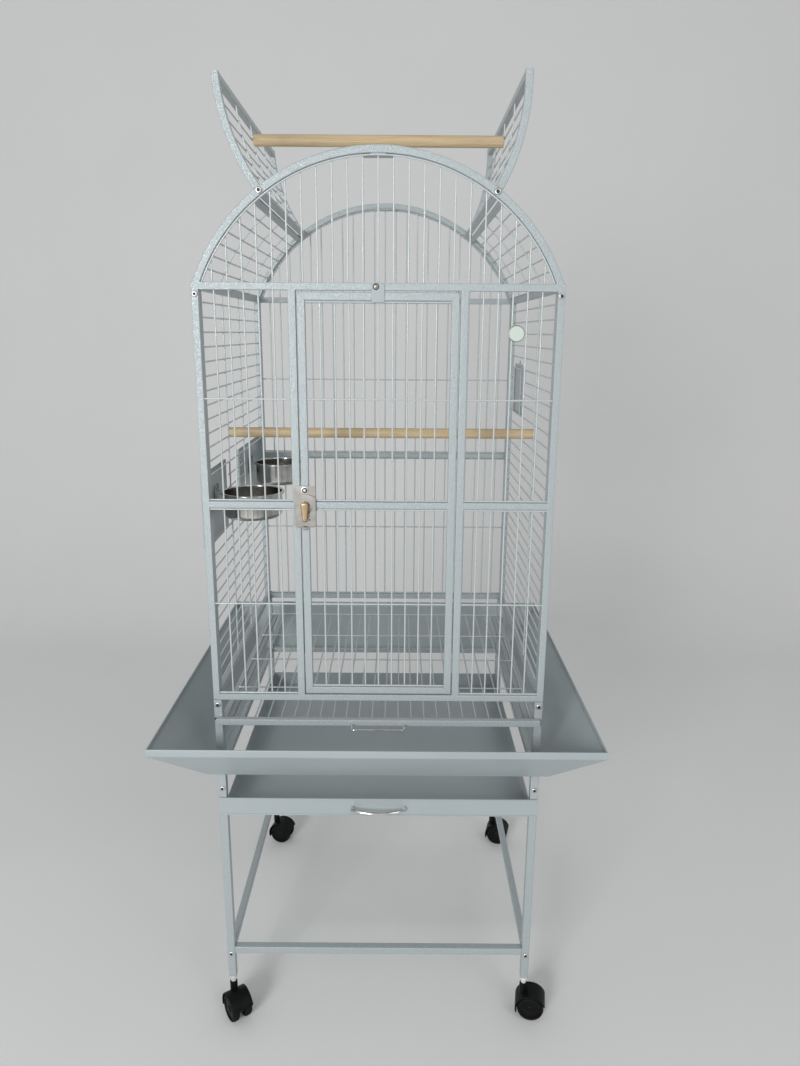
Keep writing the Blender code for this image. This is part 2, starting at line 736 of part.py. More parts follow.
def build_flap(name, side, opened):
    """Roof flap, shown open: a curved tube frame with wires, on two pivots."""
    tube_angle = FRAME_TUBE / ARCH_MIDDLE
    half_length = HALF_DEPTH - FRAME_TUBE - CLEARANCE
    start = FLAP_PIVOT_ANGLE + tube_angle / 2
    end = FLAP_TIP_ANGLE
    frame = arc_band(name, ARCH_INNER, ARCH_OUTER, side * start, side * end,
                     -half_length, half_length, 8)
    window = arc_band("window", ARCH_INNER - FRAME_TUBE, ARCH_OUTER + FRAME_TUBE,
                      side * (start - tube_angle), side * (end + tube_angle),
                      -half_length + FRAME_TUBE, half_length - FRAME_TUBE, 8)
    cut(frame, window)
    pivot = Vector((side * FLAP_PIVOT_X, 0.0, FLAP_PIVOT_HEIGHT))
    hole = HINGE_PIN_RADIUS + CLEARANCE
    for end_face in (-1, 1):
        drill(frame, (pivot.x, end_face * HALF_DEPTH, pivot.z),
              (pivot.x, end_face * (half_length - FRAME_TUBE), pivot.z), hole)
    inner_start = end + tube_angle - TUCK / ARCH_MIDDLE
    inner_end = start - tube_angle + BORDER_STRIP / (2 * ARCH_MIDDLE)
    reach = half_length - FRAME_TUBE + TUCK
    join(frame, curved_lattice(inner_start, inner_end, side, reach, BORDER_STRIP))
    turn = Matrix.Rotation(side * opened, 4, "Y")
    frame.data.transform(Matrix.Translation(pivot) @ turn @ Matrix.Translation(-pivot))
    return finish(frame, POWDER_COAT, pivot)


def build_flap_pivot(name, side, end_face):
    """Screw through the arch that a roof flap turns on."""
    outer = end_face * HALF_DEPTH
    seat = outer + end_face * CLEARANCE
    tip = end_face * (HALF_DEPTH - 2 * FRAME_TUBE + TUCK)
    place = (side * FLAP_PIVOT_X, FLAP_PIVOT_HEIGHT)
    head_face = seat + end_face * PIVOT_HEAD_THICKNESS
    head = rod(name, (place[0], seat, place[1]), (place[0], head_face, place[1]), PIVOT_HEAD_RADIUS)
    shank_start = seat + end_face * PIVOT_HEAD_THICKNESS / 2
    shank = rod("shank", (place[0], shank_start, place[1]), (place[0], tip, place[1]),
                HINGE_PIN_RADIUS, SMALL_SIDES)
    return finish(join(head, shank), STEEL)


def flap_face(side, opened, height):
    """Where an open flap's wires stand at a height, on their inner side."""
    turn = Matrix.Rotation(side * opened, 4, "Y")
    pivot = Vector((side * FLAP_PIVOT_X, 0.0, FLAP_PIVOT_HEIGHT))
    centre = pivot + turn @ (Vector((0.0, 0.0, ARCH_CENTRE_HEIGHT)) - pivot)
    radius = ARCH_MIDDLE - WIRE / 2
    return centre.x + side * math.sqrt(radius ** 2 - (height - centre.z) ** 2)


def build_perches():
    """The wooden perch inside, and the one held between the open flaps."""
    reach = HALF_WIDTH - FRAME_TUBE / 2 - WIRE / 2 - CLEARANCE
    y = FRONT + INNER_PERCH_INSET
    inner = rod("perch_inner", (-reach, y, INNER_PERCH_HEIGHT), (reach, y, INNER_PERCH_HEIGHT),
                INNER_PERCH_RADIUS, 20)
    finish(inner, PINE)
    lowest = TOP_PERCH_HEIGHT - TOP_PERCH_RADIUS
    left = flap_face(-1, LEFT_FLAP_OPEN, lowest) + CLEARANCE
    right = flap_face(1, RIGHT_FLAP_OPEN, lowest) - CLEARANCE
    top = rod("perch_top", (left, 0.0, TOP_PERCH_HEIGHT), (right, 0.0, TOP_PERCH_HEIGHT),
              TOP_PERCH_RADIUS, 20)
    finish(top, PINE, (0.0, 0.0, TOP_PERCH_HEIGHT))


def build_door():
    """The front door: bar frame, mid bar and upright wires."""
    half = DOOR_WIDTH / 2
    inner = half - DOOR_BAR
    bottom = BOTTOM_BEAM_TOP + DOOR_END_GAP
    top = TOP_BEAM_UNDERSIDE - DOOR_END_GAP
    mid_low = MID_RAIL_HEIGHT - FRAME_TUBE / 2
    mid_high = MID_RAIL_HEIGHT + FRAME_TUBE / 2
    windows = [
        rectangle(-inner, inner, bottom + DOOR_BAR, mid_low),
        rectangle(-inner, inner, mid_high, top - DOOR_BAR),
    ]
    level = FRONT + FRAME_TUBE / 2
    door = tube_frame("door", rectangle(-half, half, bottom, top), windows, "Y", level)
    count = round(2 * inner / WIRE_PITCH) - 1
    columns = wires_between(-inner - TUCK, inner + TUCK, even_centres(-inner, inner, count))
    for low, high in ((bottom + DOOR_BAR, mid_low), (mid_high, top - DOOR_BAR)):
        join(door, upright_lattice(columns, panel_rows(low, high), level))
    hole = HINGE_PIN_RADIUS + CLEARANCE
    for edge, inward in ((bottom, 1), (top, -1)):
        drill(door, (DOOR_PIN.x, DOOR_PIN.y, edge - inward * WIRE),
              (DOOR_PIN.x, DOOR_PIN.y, edge + inward * (HINGE_PIN_DEPTH + CLEARANCE)), hole)
    shaft = LOCK_SHAFT_RADIUS + CLEARANCE
    drill(door, (LOCK_X, FRONT - WIRE, KNOB_HEIGHT),
          (LOCK_X, FRONT + FRAME_TUBE + WIRE, KNOB_HEIGHT), shaft)
    return finish(door, POWDER_COAT, (DOOR_PIN.x, DOOR_PIN.y, MID_RAIL_HEIGHT))


def build_door_pins():
    """The two upright pins that the door swings on."""
    for name, edge, upward in (("door_pin_lower", BOTTOM_BEAM_TOP, 1),
                               ("door_pin_upper", TOP_BEAM_UNDERSIDE, -1)):
        start = edge - upward * (HINGE_PIN_DEPTH - CLEARANCE)
        end = edge + upward * (DOOR_END_GAP + HINGE_PIN_DEPTH)
        pin = rod(name, (DOOR_PIN.x, DOOR_PIN.y, start), (DOOR_PIN.x, DOOR_PIN.y, end),
                  HINGE_PIN_RADIUS, SMALL_SIDES)
        finish(pin, STEEL)


def build_lock():
    """Door lock: base plate, cover, turning knob and the tongue behind the door."""
    half = LOCK_WIDTH / 2
    bottom = LOCK_CENTRE_HEIGHT - LOCK_HEIGHT / 2
    top = LOCK_CENTRE_HEIGHT + LOCK_HEIGHT / 2
    centre = (LOCK_X, KNOB_HEIGHT)
    base_front = FRONT - CLEARANCE - LOCK_SHEET
    corner = LOCK_CORNER
    left = LOCK_X - half
    right = LOCK_X + half
    outline = [(left, bottom + corner), (left + corner, bottom), (right - corner, bottom),
               (right, bottom + corner), (right, top - corner), (right - corner, top),
               (left + corner, top), (left, top - corner)]
    base = plate("lock_base", [outline], LOCK_SHEET, "Y", base_front + LOCK_SHEET / 2)
    hole = LOCK_SHAFT_RADIUS + CLEARANCE
    drill(base, (centre[0], FRONT, centre[1]), (centre[0], base_front - WIRE, centre[1]), hole)
    boss = (LOCK_X, top - 2 * corner)
    join(base, rod("boss", (boss[0], base_front + LOCK_SHEET / 2, boss[1]),
                   (boss[0], base_front - 2 * LOCK_SHEET, boss[1]), corner, SMALL_SIDES))
    finish(base, STEEL)

    cover_front = base_front - CLEARANCE - LOCK_SHEET
    arc_foot = boss[1] - corner - CLEARANCE - COVER_ARC_RADIUS
    spread = math.asin(half / COVER_ARC_RADIUS)
    arc = []
    for index in range(CURVE_STEPS + 1):
        angle = spread - 2 * spread * index / CURVE_STEPS
        arc.append((centre[0] + COVER_ARC_RADIUS * math.sin(angle),
                    arc_foot + COVER_ARC_RADIUS * math.cos(angle)))
    foot = bottom + corner / 2
    cover_outline = [(left, foot + corner), (left + corner, foot), (right - corner, foot),
                     (right, foot + corner)] + arc
    cover = plate("lock_cover", [cover_outline], LOCK_SHEET, "Y", cover_front + LOCK_SHEET / 2)
    drill(cover, (centre[0], FRONT, centre[1]), (centre[0], cover_front - WIRE, centre[1]), hole)
    finish(cover, STEEL)

    knob_back = cover_front - CLEARANCE
    knob_front = knob_back - KNOB_THICKNESS
    knob_outline = []
    for radius, height, start in ((KNOB_ROUND_RADIUS, centre[1], 0.0),
                                  (KNOB_GRIP_RADIUS, centre[1] - KNOB_GRIP_LENGTH, math.pi)):
        for index in range(CURVE_STEPS + 1):
            angle = start + math.pi * index / CURVE_STEPS
            knob_outline.append((centre[0] + radius * math.cos(angle),
                                 height + radius * math.sin(angle)))
    knob = plate("lock_knob", [knob_outline], KNOB_THICKNESS, "Y", (knob_back + knob_front) / 2)
    shaft_end = FRONT + FRAME_TUBE / 2
    join(knob, rod("shaft", (centre[0], knob_back - KNOB_THICKNESS / 2, centre[1]),
                   (centre[0], shaft_end, centre[1]), LOCK_SHAFT_RADIUS))
    axis_point = (centre[0], FRONT, centre[1])
    finish(knob, BRASS, axis_point)

    behind = FRONT + FRAME_TUBE + CLEARANCE
    tongue_half = TONGUE_WIDTH / 2
    tongue = box("lock_tongue", (centre[0] - tongue_half, behind, centre[1] - TONGUE_LENGTH),
                 (centre[0] + tongue_half, behind + TONGUE_THICKNESS, centre[1] + tongue_half))
    join(tongue, rod("stem", (centre[0], shaft_end + CLEARANCE, centre[1]),
                     (centre[0], behind + TONGUE_THICKNESS / 2, centre[1]), LOCK_SHAFT_RADIUS))
    finish(tongue, STEEL, axis_point)


def build_door_details():
    """The stop tab on the door's top bar and the blank round badge on the wires."""
    half = STOP_TAB_WIDTH / 2
    top = TOP_BEAM_TOP - WIRE / 2
    back = FRONT - CLEARANCE
    tab = box("door_stop_tab", (-half, back - SHEET, top - STOP_TAB_HEIGHT), (half, back, top))
    rivet = TOP_BEAM_HEIGHT
    join(tab, rod("rivet", (-STOP_RIVET_OFFSET, back - SHEET / 2, rivet),
                  (-STOP_RIVET_OFFSET, back - 2 * SHEET, rivet), STOP_RIVET_RADIUS, SMALL_SIDES))
    finish(tab, STEEL)
    back = FRONT + FRAME_TUBE / 2 - WIRE / 2 - CLEARANCE
    badge = rod("badge", (BADGE_X, back, BADGE_HEIGHT), (BADGE_X, back - SHEET, BADGE_HEIGHT),
                BADGE_RADIUS, CUP_SIDES)
    finish(badge, BLANK_BADGE)


def build_feeder(label, low, high, cup_y):
    """One swing-out feeder door with its cup ring and cup."""
    bottom = FEEDER_ROW - PLATE_OVERLAP
    top = FEEDER_ROW + FEEDER_ROWS * WIRE_PITCH + PLATE_OVERLAP
    inner = -HALF_WIDTH - CLEARANCE
    outer = inner - SHEET
    barrel_x = inner - BARREL_RADIUS
    hinge_y = low + BARREL_RADIUS
    sheet = box("feeder_door_" + label, (outer, hinge_y, bottom), (inner, high, top))
    join(sheet, rod("barrel", (barrel_x, hinge_y, bottom), (barrel_x, hinge_y, top),
                    BARREL_RADIUS, SMALL_SIDES))
    origin = (barrel_x, hinge_y, (bottom + top) / 2)
    finish(sheet, SHEET_PAINT, origin)

    ring_top = CUP_RIM_HEIGHT - CUP_WALL - CLEARANCE
    ring_inner = CUP_BODY_RADIUS + CLEARANCE * 2
    centre = (CUP_X, cup_y)
    edges = [circle(centre, CUP_RIM_RADIUS, CUP_SIDES), circle(centre, ring_inner, CUP_SIDES)]
    ring = plate("cup_ring_" + label, edges, RING_THICKNESS, "Z", ring_top - RING_THICKNESS / 2)
    ring_reach = CUP_X - CUP_RIM_RADIUS + RING_THICKNESS / 2
    arm_inner = inner + CLEARANCE
    arm_low = ring_top - RING_THICKNESS + RING_ARM_RECESS
    arm = box("arm", (arm_inner, cup_y - RING_ARM_HALF, arm_low),
              (ring_reach, cup_y + RING_ARM_HALF, ring_top - RING_ARM_RECESS))
    foot = box("foot", (arm_inner, cup_y - RING_FOOT_HALF, ring_top - RING_FOOT_DROP),
               (arm_inner + RING_THICKNESS, cup_y + RING_FOOT_HALF, ring_top + RING_THICKNESS))
    join(ring, join(arm, foot))
    finish(ring, STEEL, origin)

    rim = CUP_RIM_HEIGHT
    floor = rim - CUP_DEPTH
    profile = [
        (CUP_BODY_RADIUS - CUP_WALL, rim), (CUP_RIM_RADIUS, rim), (CUP_RIM_RADIUS, rim - CUP_WALL),
        (CUP_BODY_RADIUS, rim - CUP_WALL), (CUP_BODY_RADIUS, floor + CUP_BASE_CURVE),
        (CUP_BASE_RADIUS, floor), (0.0, floor),
    ]
    inside = [
        (0.0, floor + CUP_WALL), (CUP_BASE_RADIUS - CUP_WALL, floor + CUP_WALL),
        (CUP_BODY_RADIUS - CUP_WALL, floor + CUP_BASE_CURVE),
    ]
    cup = turned("cup_" + label, profile + inside, (CUP_X, cup_y, 0.0), (0, 0, 1),
                 CUP_SIDES, closed=True)
    finish(cup, STAINLESS, (CUP_X, cup_y, rim))


def build_hatch():
    """The small hatch on the right side with its turn button."""
    bottom_wire, top_wire, low, high = hatch_opening()
    bottom = bottom_wire - PLATE_OVERLAP
    top = top_wire + 2 * PLATE_OVERLAP
    inner = HALF_WIDTH - FRAME_TUBE / 2 + WIRE / 2 + CLEARANCE
    outer = inner + SHEET
    barrel_x = inner + BARREL_RADIUS
    hinge_z = bottom + BARREL_RADIUS
    first = low - PLATE_OVERLAP
    last = high + PLATE_OVERLAP
    sheet = box("side_hatch", (inner, first, hinge_z), (outer, last, top))
    join(sheet, rod("barrel", (barrel_x, first, hinge_z), (barrel_x, last, hinge_z),
                    BARREL_RADIUS, SMALL_SIDES))
    finish(sheet, SHEET_PAINT, (barrel_x, (low + high) / 2, hinge_z))
    pivot = (outer + CLEARANCE, (low + high) / 2, top - TURN_BUTTON_WIDTH)
    half = TURN_BUTTON_WIDTH / 2
    button = box("hatch_button", (pivot[0], pivot[1] - half, pivot[2] - half),
                 (pivot[0] + SHEET, pivot[1] + half, pivot[2] - half + TURN_BUTTON_LENGTH))
    join(button, rod("rivet", (pivot[0] + SHEET / 2, pivot[1], pivot[2]),
                     (pivot[0] + BUTTON_RIVET_HEIGHT, pivot[1], pivot[2]),
                     BUTTON_RIVET_RADIUS, SMALL_SIDES))
    finish(button, STEEL, pivot)


def build_stand_side(name, side):
    """A welded side of the stand: two legs, two rails, and runners for tray and grate."""
    edges = sorted((side * HALF_WIDTH, side * LEG_INNER))
    top = PANEL_BOTTOM - CLEARANCE
    frame = box(name, (edges[0], FRONT, LEG_BOTTOM), (edges[1], FRONT + LEG_TUBE, top))
    rear_leg = box("leg", (edges[0], HALF_DEPTH - LEG_TUBE, LEG_BOTTOM), (edges[1], HALF_DEPTH, top))
    overlap = LEG_TUBE / 2
    low_y = FRONT + overlap
    rails = []
    for height, tube in ((LOWER_RAIL_HEIGHT, SIDE_RAIL_TUBE), (UPPER_RAIL_HEIGHT, FRAME_TUBE)):
        rails.append(box("rail", (edges[0] + SIDE_RAIL_INSET, low_y, height - tube / 2),
                         (edges[1] - SIDE_RAIL_INSET, -low_y, height + tube / 2)))
    runner = sorted((side * (LEG_INNER + overlap), side * (LEG_INNER - RUNNER_WIDTH)))
    for support in (TRAY_BOTTOM, GRATE_BOTTOM):
        top_face = support - CLEARANCE
        rails.append(box("runner", (runner[0], low_y, top_face - RUNNER_SHEET),
                         (runner[1], -low_y, top_face)))
    return finish(join(frame, rear_leg, *rails), POWDER_COAT)


def build_stand_rails():
    """The four cross rails bolted between the stand's sides."""
    reach = LEG_INNER - CLEARANCE
    for place, outward in (("front", -1), ("rear", 1)):
        for level, height, tube in (("lower", LOWER_RAIL_HEIGHT, LEG_TUBE),
                                    ("upper", UPPER_RAIL_HEIGHT, FRAME_TUBE)):
            edges = sorted((outward * HALF_DEPTH, outward * (HALF_DEPTH - tube)))
            rail = box("stand_rail_" + place + "_" + level, (-reach, edges[0], height - tube / 2),
                       (reach, edges[1], height + tube / 2))
            finish(rail, POWDER_COAT)


def build_tray():
    """The sliding litter tray with its bow handle."""
    half = LEG_INNER - 3 * CLEARANCE
    face_back = FRONT - CLEARANCE
    rear = HALF_DEPTH - LEG_TUBE - 3 * CLEARANCE
    top = TRAY_BOTTOM + TRAY_HEIGHT
    tray = box("tray", (-half, face_back - SHEET / 2, TRAY_BOTTOM), (half, rear, top - SHEET / 2))
    hollow = box("hollow", (-half + SHEET, face_back + SHEET, TRAY_BOTTOM + SHEET),
                 (half - SHEET, rear - SHEET, top + SHEET))
    cut(tray, hollow)
    join(tray, box("face", (-HALF_WIDTH, face_back - SHEET, TRAY_BOTTOM - SHEET),
                   (HALF_WIDTH, face_back, top)))
    origin = (0.0, FRONT, TRAY_BOTTOM)
    finish(tray, SHEET_PAINT, origin)

    face = face_back - SHEET - CLEARANCE
    half_span = PULL_SPAN / 2
    bow = PULL_REACH - PULL_WIRE_RADIUS - PULL_FOOT
    height = TRAY_BOTTOM + TRAY_HEIGHT / 2
    points = [(-half_span, face, height)]
    for index in range(CURVE_STEPS + 1):
        share = index / CURVE_STEPS
        rise = math.sin(math.pi * share) ** PULL_FULLNESS
        points.append((half_span * (2 * share - 1), face - PULL_FOOT - bow * rise, height))
    points.append((half_span, face, height))
    finish(wire_loop("tray_handle", points, PULL_WIRE_RADIUS), STAINLESS, origin)


def build_grate():
    """The pull-out grate: front bar, wires both ways and a wire handle."""
    half = LEG_INNER - 3 * CLEARANCE
    bar_back = FRONT - CLEARANCE
    rear = HALF_DEPTH - LEG_TUBE - 3 * CLEARANCE
    level = GRATE_BOTTOM + WIRE / 2 + CLEARANCE
    bar_half = GRATE_BAR_WIDTH / 2
    bar = box("grate", (-bar_half, bar_back - FRAME_TUBE, GRATE_BOTTOM),
              (bar_half, bar_back, GRATE_BOTTOM + FRAME_TUBE))
    count = round(2 * (half - GRATE_BORDER) / GRATE_PITCH) - 1
    columns = wires_between(-half + GRATE_BORDER, half - GRATE_BORDER,
                            even_centres(-half + GRATE_BORDER, half - GRATE_BORDER, count))
    rows = wires_between(bar_back + FRAME_TUBE / 4, rear - GRATE_BORDER,
                         even_centres(bar_back, rear - GRATE_BORDER, GRATE_CROSS_WIRES))
    wires = lattice(columns, rows, lambda u, v: Vector((u, v, level)), GRATE_BORDER)
    origin = (0.0, FRONT, GRATE_BOTTOM)
    finish(join(bar, wires), POWDER_COAT, origin)

    face = bar_back - FRAME_TUBE - CLEARANCE
    half_span = GRATE_HANDLE_SPAN / 2
    radius = WIRE / 2
    height = GRATE_BOTTOM + FRAME_TUBE / 3
    tip = face - GRATE_HANDLE_REACH + radius
    points = [(-half_span, face, height), (-half_span, tip, height),
              (half_span, tip, height), (half_span, face, height)]
    finish(wire_loop("grate_handle", points, radius), STAINLESS, origin)


def build_skirt(name, along_x, direction):
    """One sloping side of the seed skirt, with mitred ends."""
    half_along = HALF_WIDTH if along_x else HALF_DEPTH
    half_out = HALF_DEPTH if along_x else HALF_WIDTH
    slope = math.atan2(SKIRT_LIP_BOTTOM - SKIRT_BOTTOM, SKIRT_REACH - SKIRT_FOOT)
    lift = SHEET / math.cos(slope)
    profile = [
        (CLEARANCE, SKIRT_BOTTOM), (SKIRT_FOOT, SKIRT_BOTTOM), (SKIRT_REACH, SKIRT_LIP_BOTTOM),
        (SKIRT_REACH, SKIRT_LIP_TOP), (SKIRT_REACH - SHEET, SKIRT_LIP_TOP),
        (SKIRT_REACH - SHEET, SKIRT_LIP_BOTTOM + lift / 2),
        (SKIRT_FOOT - lift / 2, SKIRT_BOTTOM + SHEET), (CLEARANCE, SKIRT_BOTTOM + SHEET),
    ]
    panel = plate(name, [profile], 2 * half_along, "Y", 0.0)
    for vertex in panel.data.vertices:
        end = 1 if vertex.co.y > 0 else -1
        vertex.co.y = end * (half_along + vertex.co.x - CLEARANCE)
        vertex.co.x += half_out
    turns = {(True, -1): -90, (True, 1): 90, (False, 1): 0, (False, -1): 180}
    panel.data.transform(Matrix.Rotation(math.radians(turns[(along_x, direction)]), 4, "Z"))
    return finish(panel, SHEET_PAINT)


def build_caster(place, x, y):
    """A swivel caster with its socket in the leg, hood and twin wheels."""
    direction = TRAIL_DIRECTIONS[place]
    trail = Vector((math.cos(direction), math.sin(direction), 0.0))
    axle = Vector((-trail.y, trail.x, 0.0))
    stem = Vector((x, y, 0.0))
    hub = stem + trail * TRAIL + Vector((0.0, 0.0, WHEEL_RADIUS))
    half_leg = LEG_TUBE / 2
    socket_top = LEG_BOTTOM - CLEARANCE
    socket_bottom = socket_top - SOCKET_HEIGHT
    socket = turned("caster_socket_" + place, [
        (0.0, socket_top), (half_leg, socket_top), (half_leg, socket_top - SOCKET_HEIGHT / 3),
        (SOCKET_NOSE_RADIUS, socket_bottom), (0.0, socket_bottom),
    ], stem, (0, 0, 1), SMALL_SIDES)
    finish(socket, WHITE_PLASTIC)

    placing = Matrix.Translation(hub) @ Matrix((
        (trail.x, axle.x, 0, 0), (trail.y, axle.y, 0, 0), (0, 0, 1, 0), (0, 0, 0, 1)))
    web_half = WHEEL_SPACING / 2 - FENDER_GAP
    inner = WHEEL_RADIUS + FENDER_GAP
    outer = inner + FENDER_THICKNESS
    fender_outline = []
    for radius, start, end in ((outer, FENDER_FIRST, FENDER_LAST),
                               (inner, FENDER_LAST, FENDER_FIRST)):
        for index in range(CURVE_STEPS + 1):
            angle = start + (end - start) * index / CURVE_STEPS
            fender_outline.append((radius * math.cos(angle), radius * math.sin(angle)))
    width = 2 * WHEEL_THICKNESS + WHEEL_SPACING
    hood = plate("caster_hood_" + place, [fender_outline], width, "Y", 0.0)
    web_outline = []
    reach = inner + FENDER_THICKNESS / 2
    for index in range(CURVE_STEPS + 1):
        angle = FENDER_FIRST + (FENDER_LAST - FENDER_FIRST) * index / CURVE_STEPS
        web_outline.append((reach * math.cos(angle), reach * math.sin(angle)))
    web_outline += [(-KEEL_HALF, -KEEL_HALF), (KEEL_HALF, -KEEL_HALF)]
    bore = circle((0.0, 0.0), AXLE_RADIUS + CLEARANCE, SMALL_SIDES)
    web = plate("web", [web_outline, bore], 2 * web_half, "Y", 0.0)
    boss_top = socket_bottom - CLEARANCE - WHEEL_RADIUS
    boss_bottom = math.sqrt(inner ** 2 - (TRAIL - half_leg) ** 2)
    boss = rod("boss", (-TRAIL, 0.0, boss_bottom), (-TRAIL, 0.0, boss_top), half_leg, SMALL_SIDES)
    join(hood, web, boss)
    hood.data.transform(placing)
    finish(hood, BLACK_PLASTIC, stem)

    half = WHEEL_SPACING / 2
    outside = half + WHEEL_THICKNESS
    profile = [
        (0.0, outside), (WHEEL_SHOULDER, outside), (WHEEL_RADIUS, outside - WHEEL_EDGE),
        (WHEEL_RADIUS, half), (AXLE_RADIUS, half),
    ]
    mirrored = [(radius, -height) for radius, height in reversed(profile)]
    wheels = turned("caster_wheels_" + place, profile + mirrored, hub, axle, WHEEL_SIDES)
    finish(wheels, BLACK_PLASTIC, hub)


def build_all():
    """Build every piece of the cage and its stand."""
    build_front_panel()
    build_rear_panel()
    build_side_panel("left_panel", -1, feeder_openings())
    build_side_panel("right_panel", 1, [hatch_opening()])
    build_roof_side("roof_side_left", -1)
    build_roof_side("roof_side_right", 1)
    build_flap("roof_flap_left", -1, LEFT_FLAP_OPEN)
    build_flap("roof_flap_right", 1, RIGHT_FLAP_OPEN)
    for end_label, end_face in (("front", -1), ("rear", 1)):
        for side_label, side in (("left", -1), ("right", 1)):
            build_flap_pivot("flap_pivot_" + end_label + "_" + side_label, side, end_face)
    build_perches()
    build_door()
    build_door_pins()
    build_lock()
    build_door_details()
    build_feeder("front", *(FRONT + inset for inset in FRONT_FEEDER_SPAN), FRONT + FRONT_CUP_INSET)
    build_feeder("rear", *(HALF_DEPTH - inset for inset in REAR_FEEDER_SPAN),
                 HALF_DEPTH - REAR_CUP_INSET)
    build_hatch()
    build_stand_side("stand_side_left", -1)
    build_stand_side("stand_side_right", 1)
    build_stand_rails()
    build_tray()
    build_grate()
    build_skirt("skirt_front", True, -1)
    build_skirt("skirt_rear", True, 1)
    build_skirt("skirt_left", False, -1)
    build_skirt("skirt_right", False, 1)
    leg_x = HALF_WIDTH - LEG_TUBE / 2
    leg_y = HALF_DEPTH - LEG_TUBE / 2
    for end_label, y in (("front", -leg_y), ("rear", leg_y)):
        for side_label, x in (("left", -leg_x), ("right", leg_x)):
            build_caster(end_label + "_" + side_label, x, y)


build_all()
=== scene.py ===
"""Looks of the play top bird cage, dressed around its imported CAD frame.

Lengths are in metres and +Z is up. The origin is on the floor, under the middle of the cage, and
the front of the cage faces -Y.
"""
from __future__ import annotations

import logging
import math
from collections.abc import Sequence
from dataclasses import dataclass, field
from enum import Enum

import bmesh
import bpy
from mathutils import Matrix, Vector


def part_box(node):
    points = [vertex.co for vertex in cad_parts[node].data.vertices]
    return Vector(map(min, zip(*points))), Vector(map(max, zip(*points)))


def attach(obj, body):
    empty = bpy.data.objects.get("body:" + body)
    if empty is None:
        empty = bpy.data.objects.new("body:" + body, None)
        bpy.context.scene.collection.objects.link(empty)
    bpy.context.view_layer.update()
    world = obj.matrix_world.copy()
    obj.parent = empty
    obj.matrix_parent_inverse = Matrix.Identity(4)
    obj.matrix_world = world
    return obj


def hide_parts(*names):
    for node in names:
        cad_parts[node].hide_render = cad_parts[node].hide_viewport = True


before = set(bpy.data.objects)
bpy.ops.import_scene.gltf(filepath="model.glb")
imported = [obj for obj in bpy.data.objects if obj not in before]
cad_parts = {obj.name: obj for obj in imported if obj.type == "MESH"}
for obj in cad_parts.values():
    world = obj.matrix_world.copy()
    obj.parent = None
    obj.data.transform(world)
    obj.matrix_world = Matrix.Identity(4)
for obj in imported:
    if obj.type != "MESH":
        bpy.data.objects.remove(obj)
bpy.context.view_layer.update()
LOG = logging.getLogger("bird_cage")

Point2 = tuple[float, float]
Point3 = Vector | tuple[float, float, float]
Colour = tuple[float, float, float, float]
Socket = bpy.types.NodeSocket

WIRE_SIDES = 8
ARCH_STEPS = 48
CORNER_STEPS = 3
SHARP_ANGLE = math.radians(50)
CLEARANCE = 0.0003
BAR_CORNER = 0.0013
THIN_CORNER = 0.0004
# A tube that meets another of its size is drawn a little thinner, so that no two faces coincide.
ARCH_SHARE, RAIL_SHARE, MID_SHARE = 0.98, 0.97, 0.96
# A noise texture's values lie mostly between these two.
NOISE_LOW, NOISE_HIGH = 0.3, 0.7


class Body(Enum):
    """Moving bodies of the cage, by the names that the CAD frame gives them."""

    CAGE = "cage"
    DOOR = "door"
    LOCK = "lock_knob"
    FLAP_LEFT = "roof_flap_left"
    FLAP_RIGHT = "roof_flap_right"
    TOP_PERCH = "perch_top"
    HATCH = "side_hatch"
    BUTTON = "hatch_button"
    GRATE = "grate"
    TRAY = "tray"


class Side(Enum):
    """Left or right of someone who faces the front; the value is its sign along X."""

    LEFT = -1
    RIGHT = 1

    @property
    def label(self) -> str:
        """The side's word in node names."""
        return self.name.lower()


class End(Enum):
    """Front or rear of the cage; the value is its sign along Y."""

    FRONT = -1
    REAR = 1

    @property
    def label(self) -> str:
        """The end's word in node names."""
        return self.name.lower()


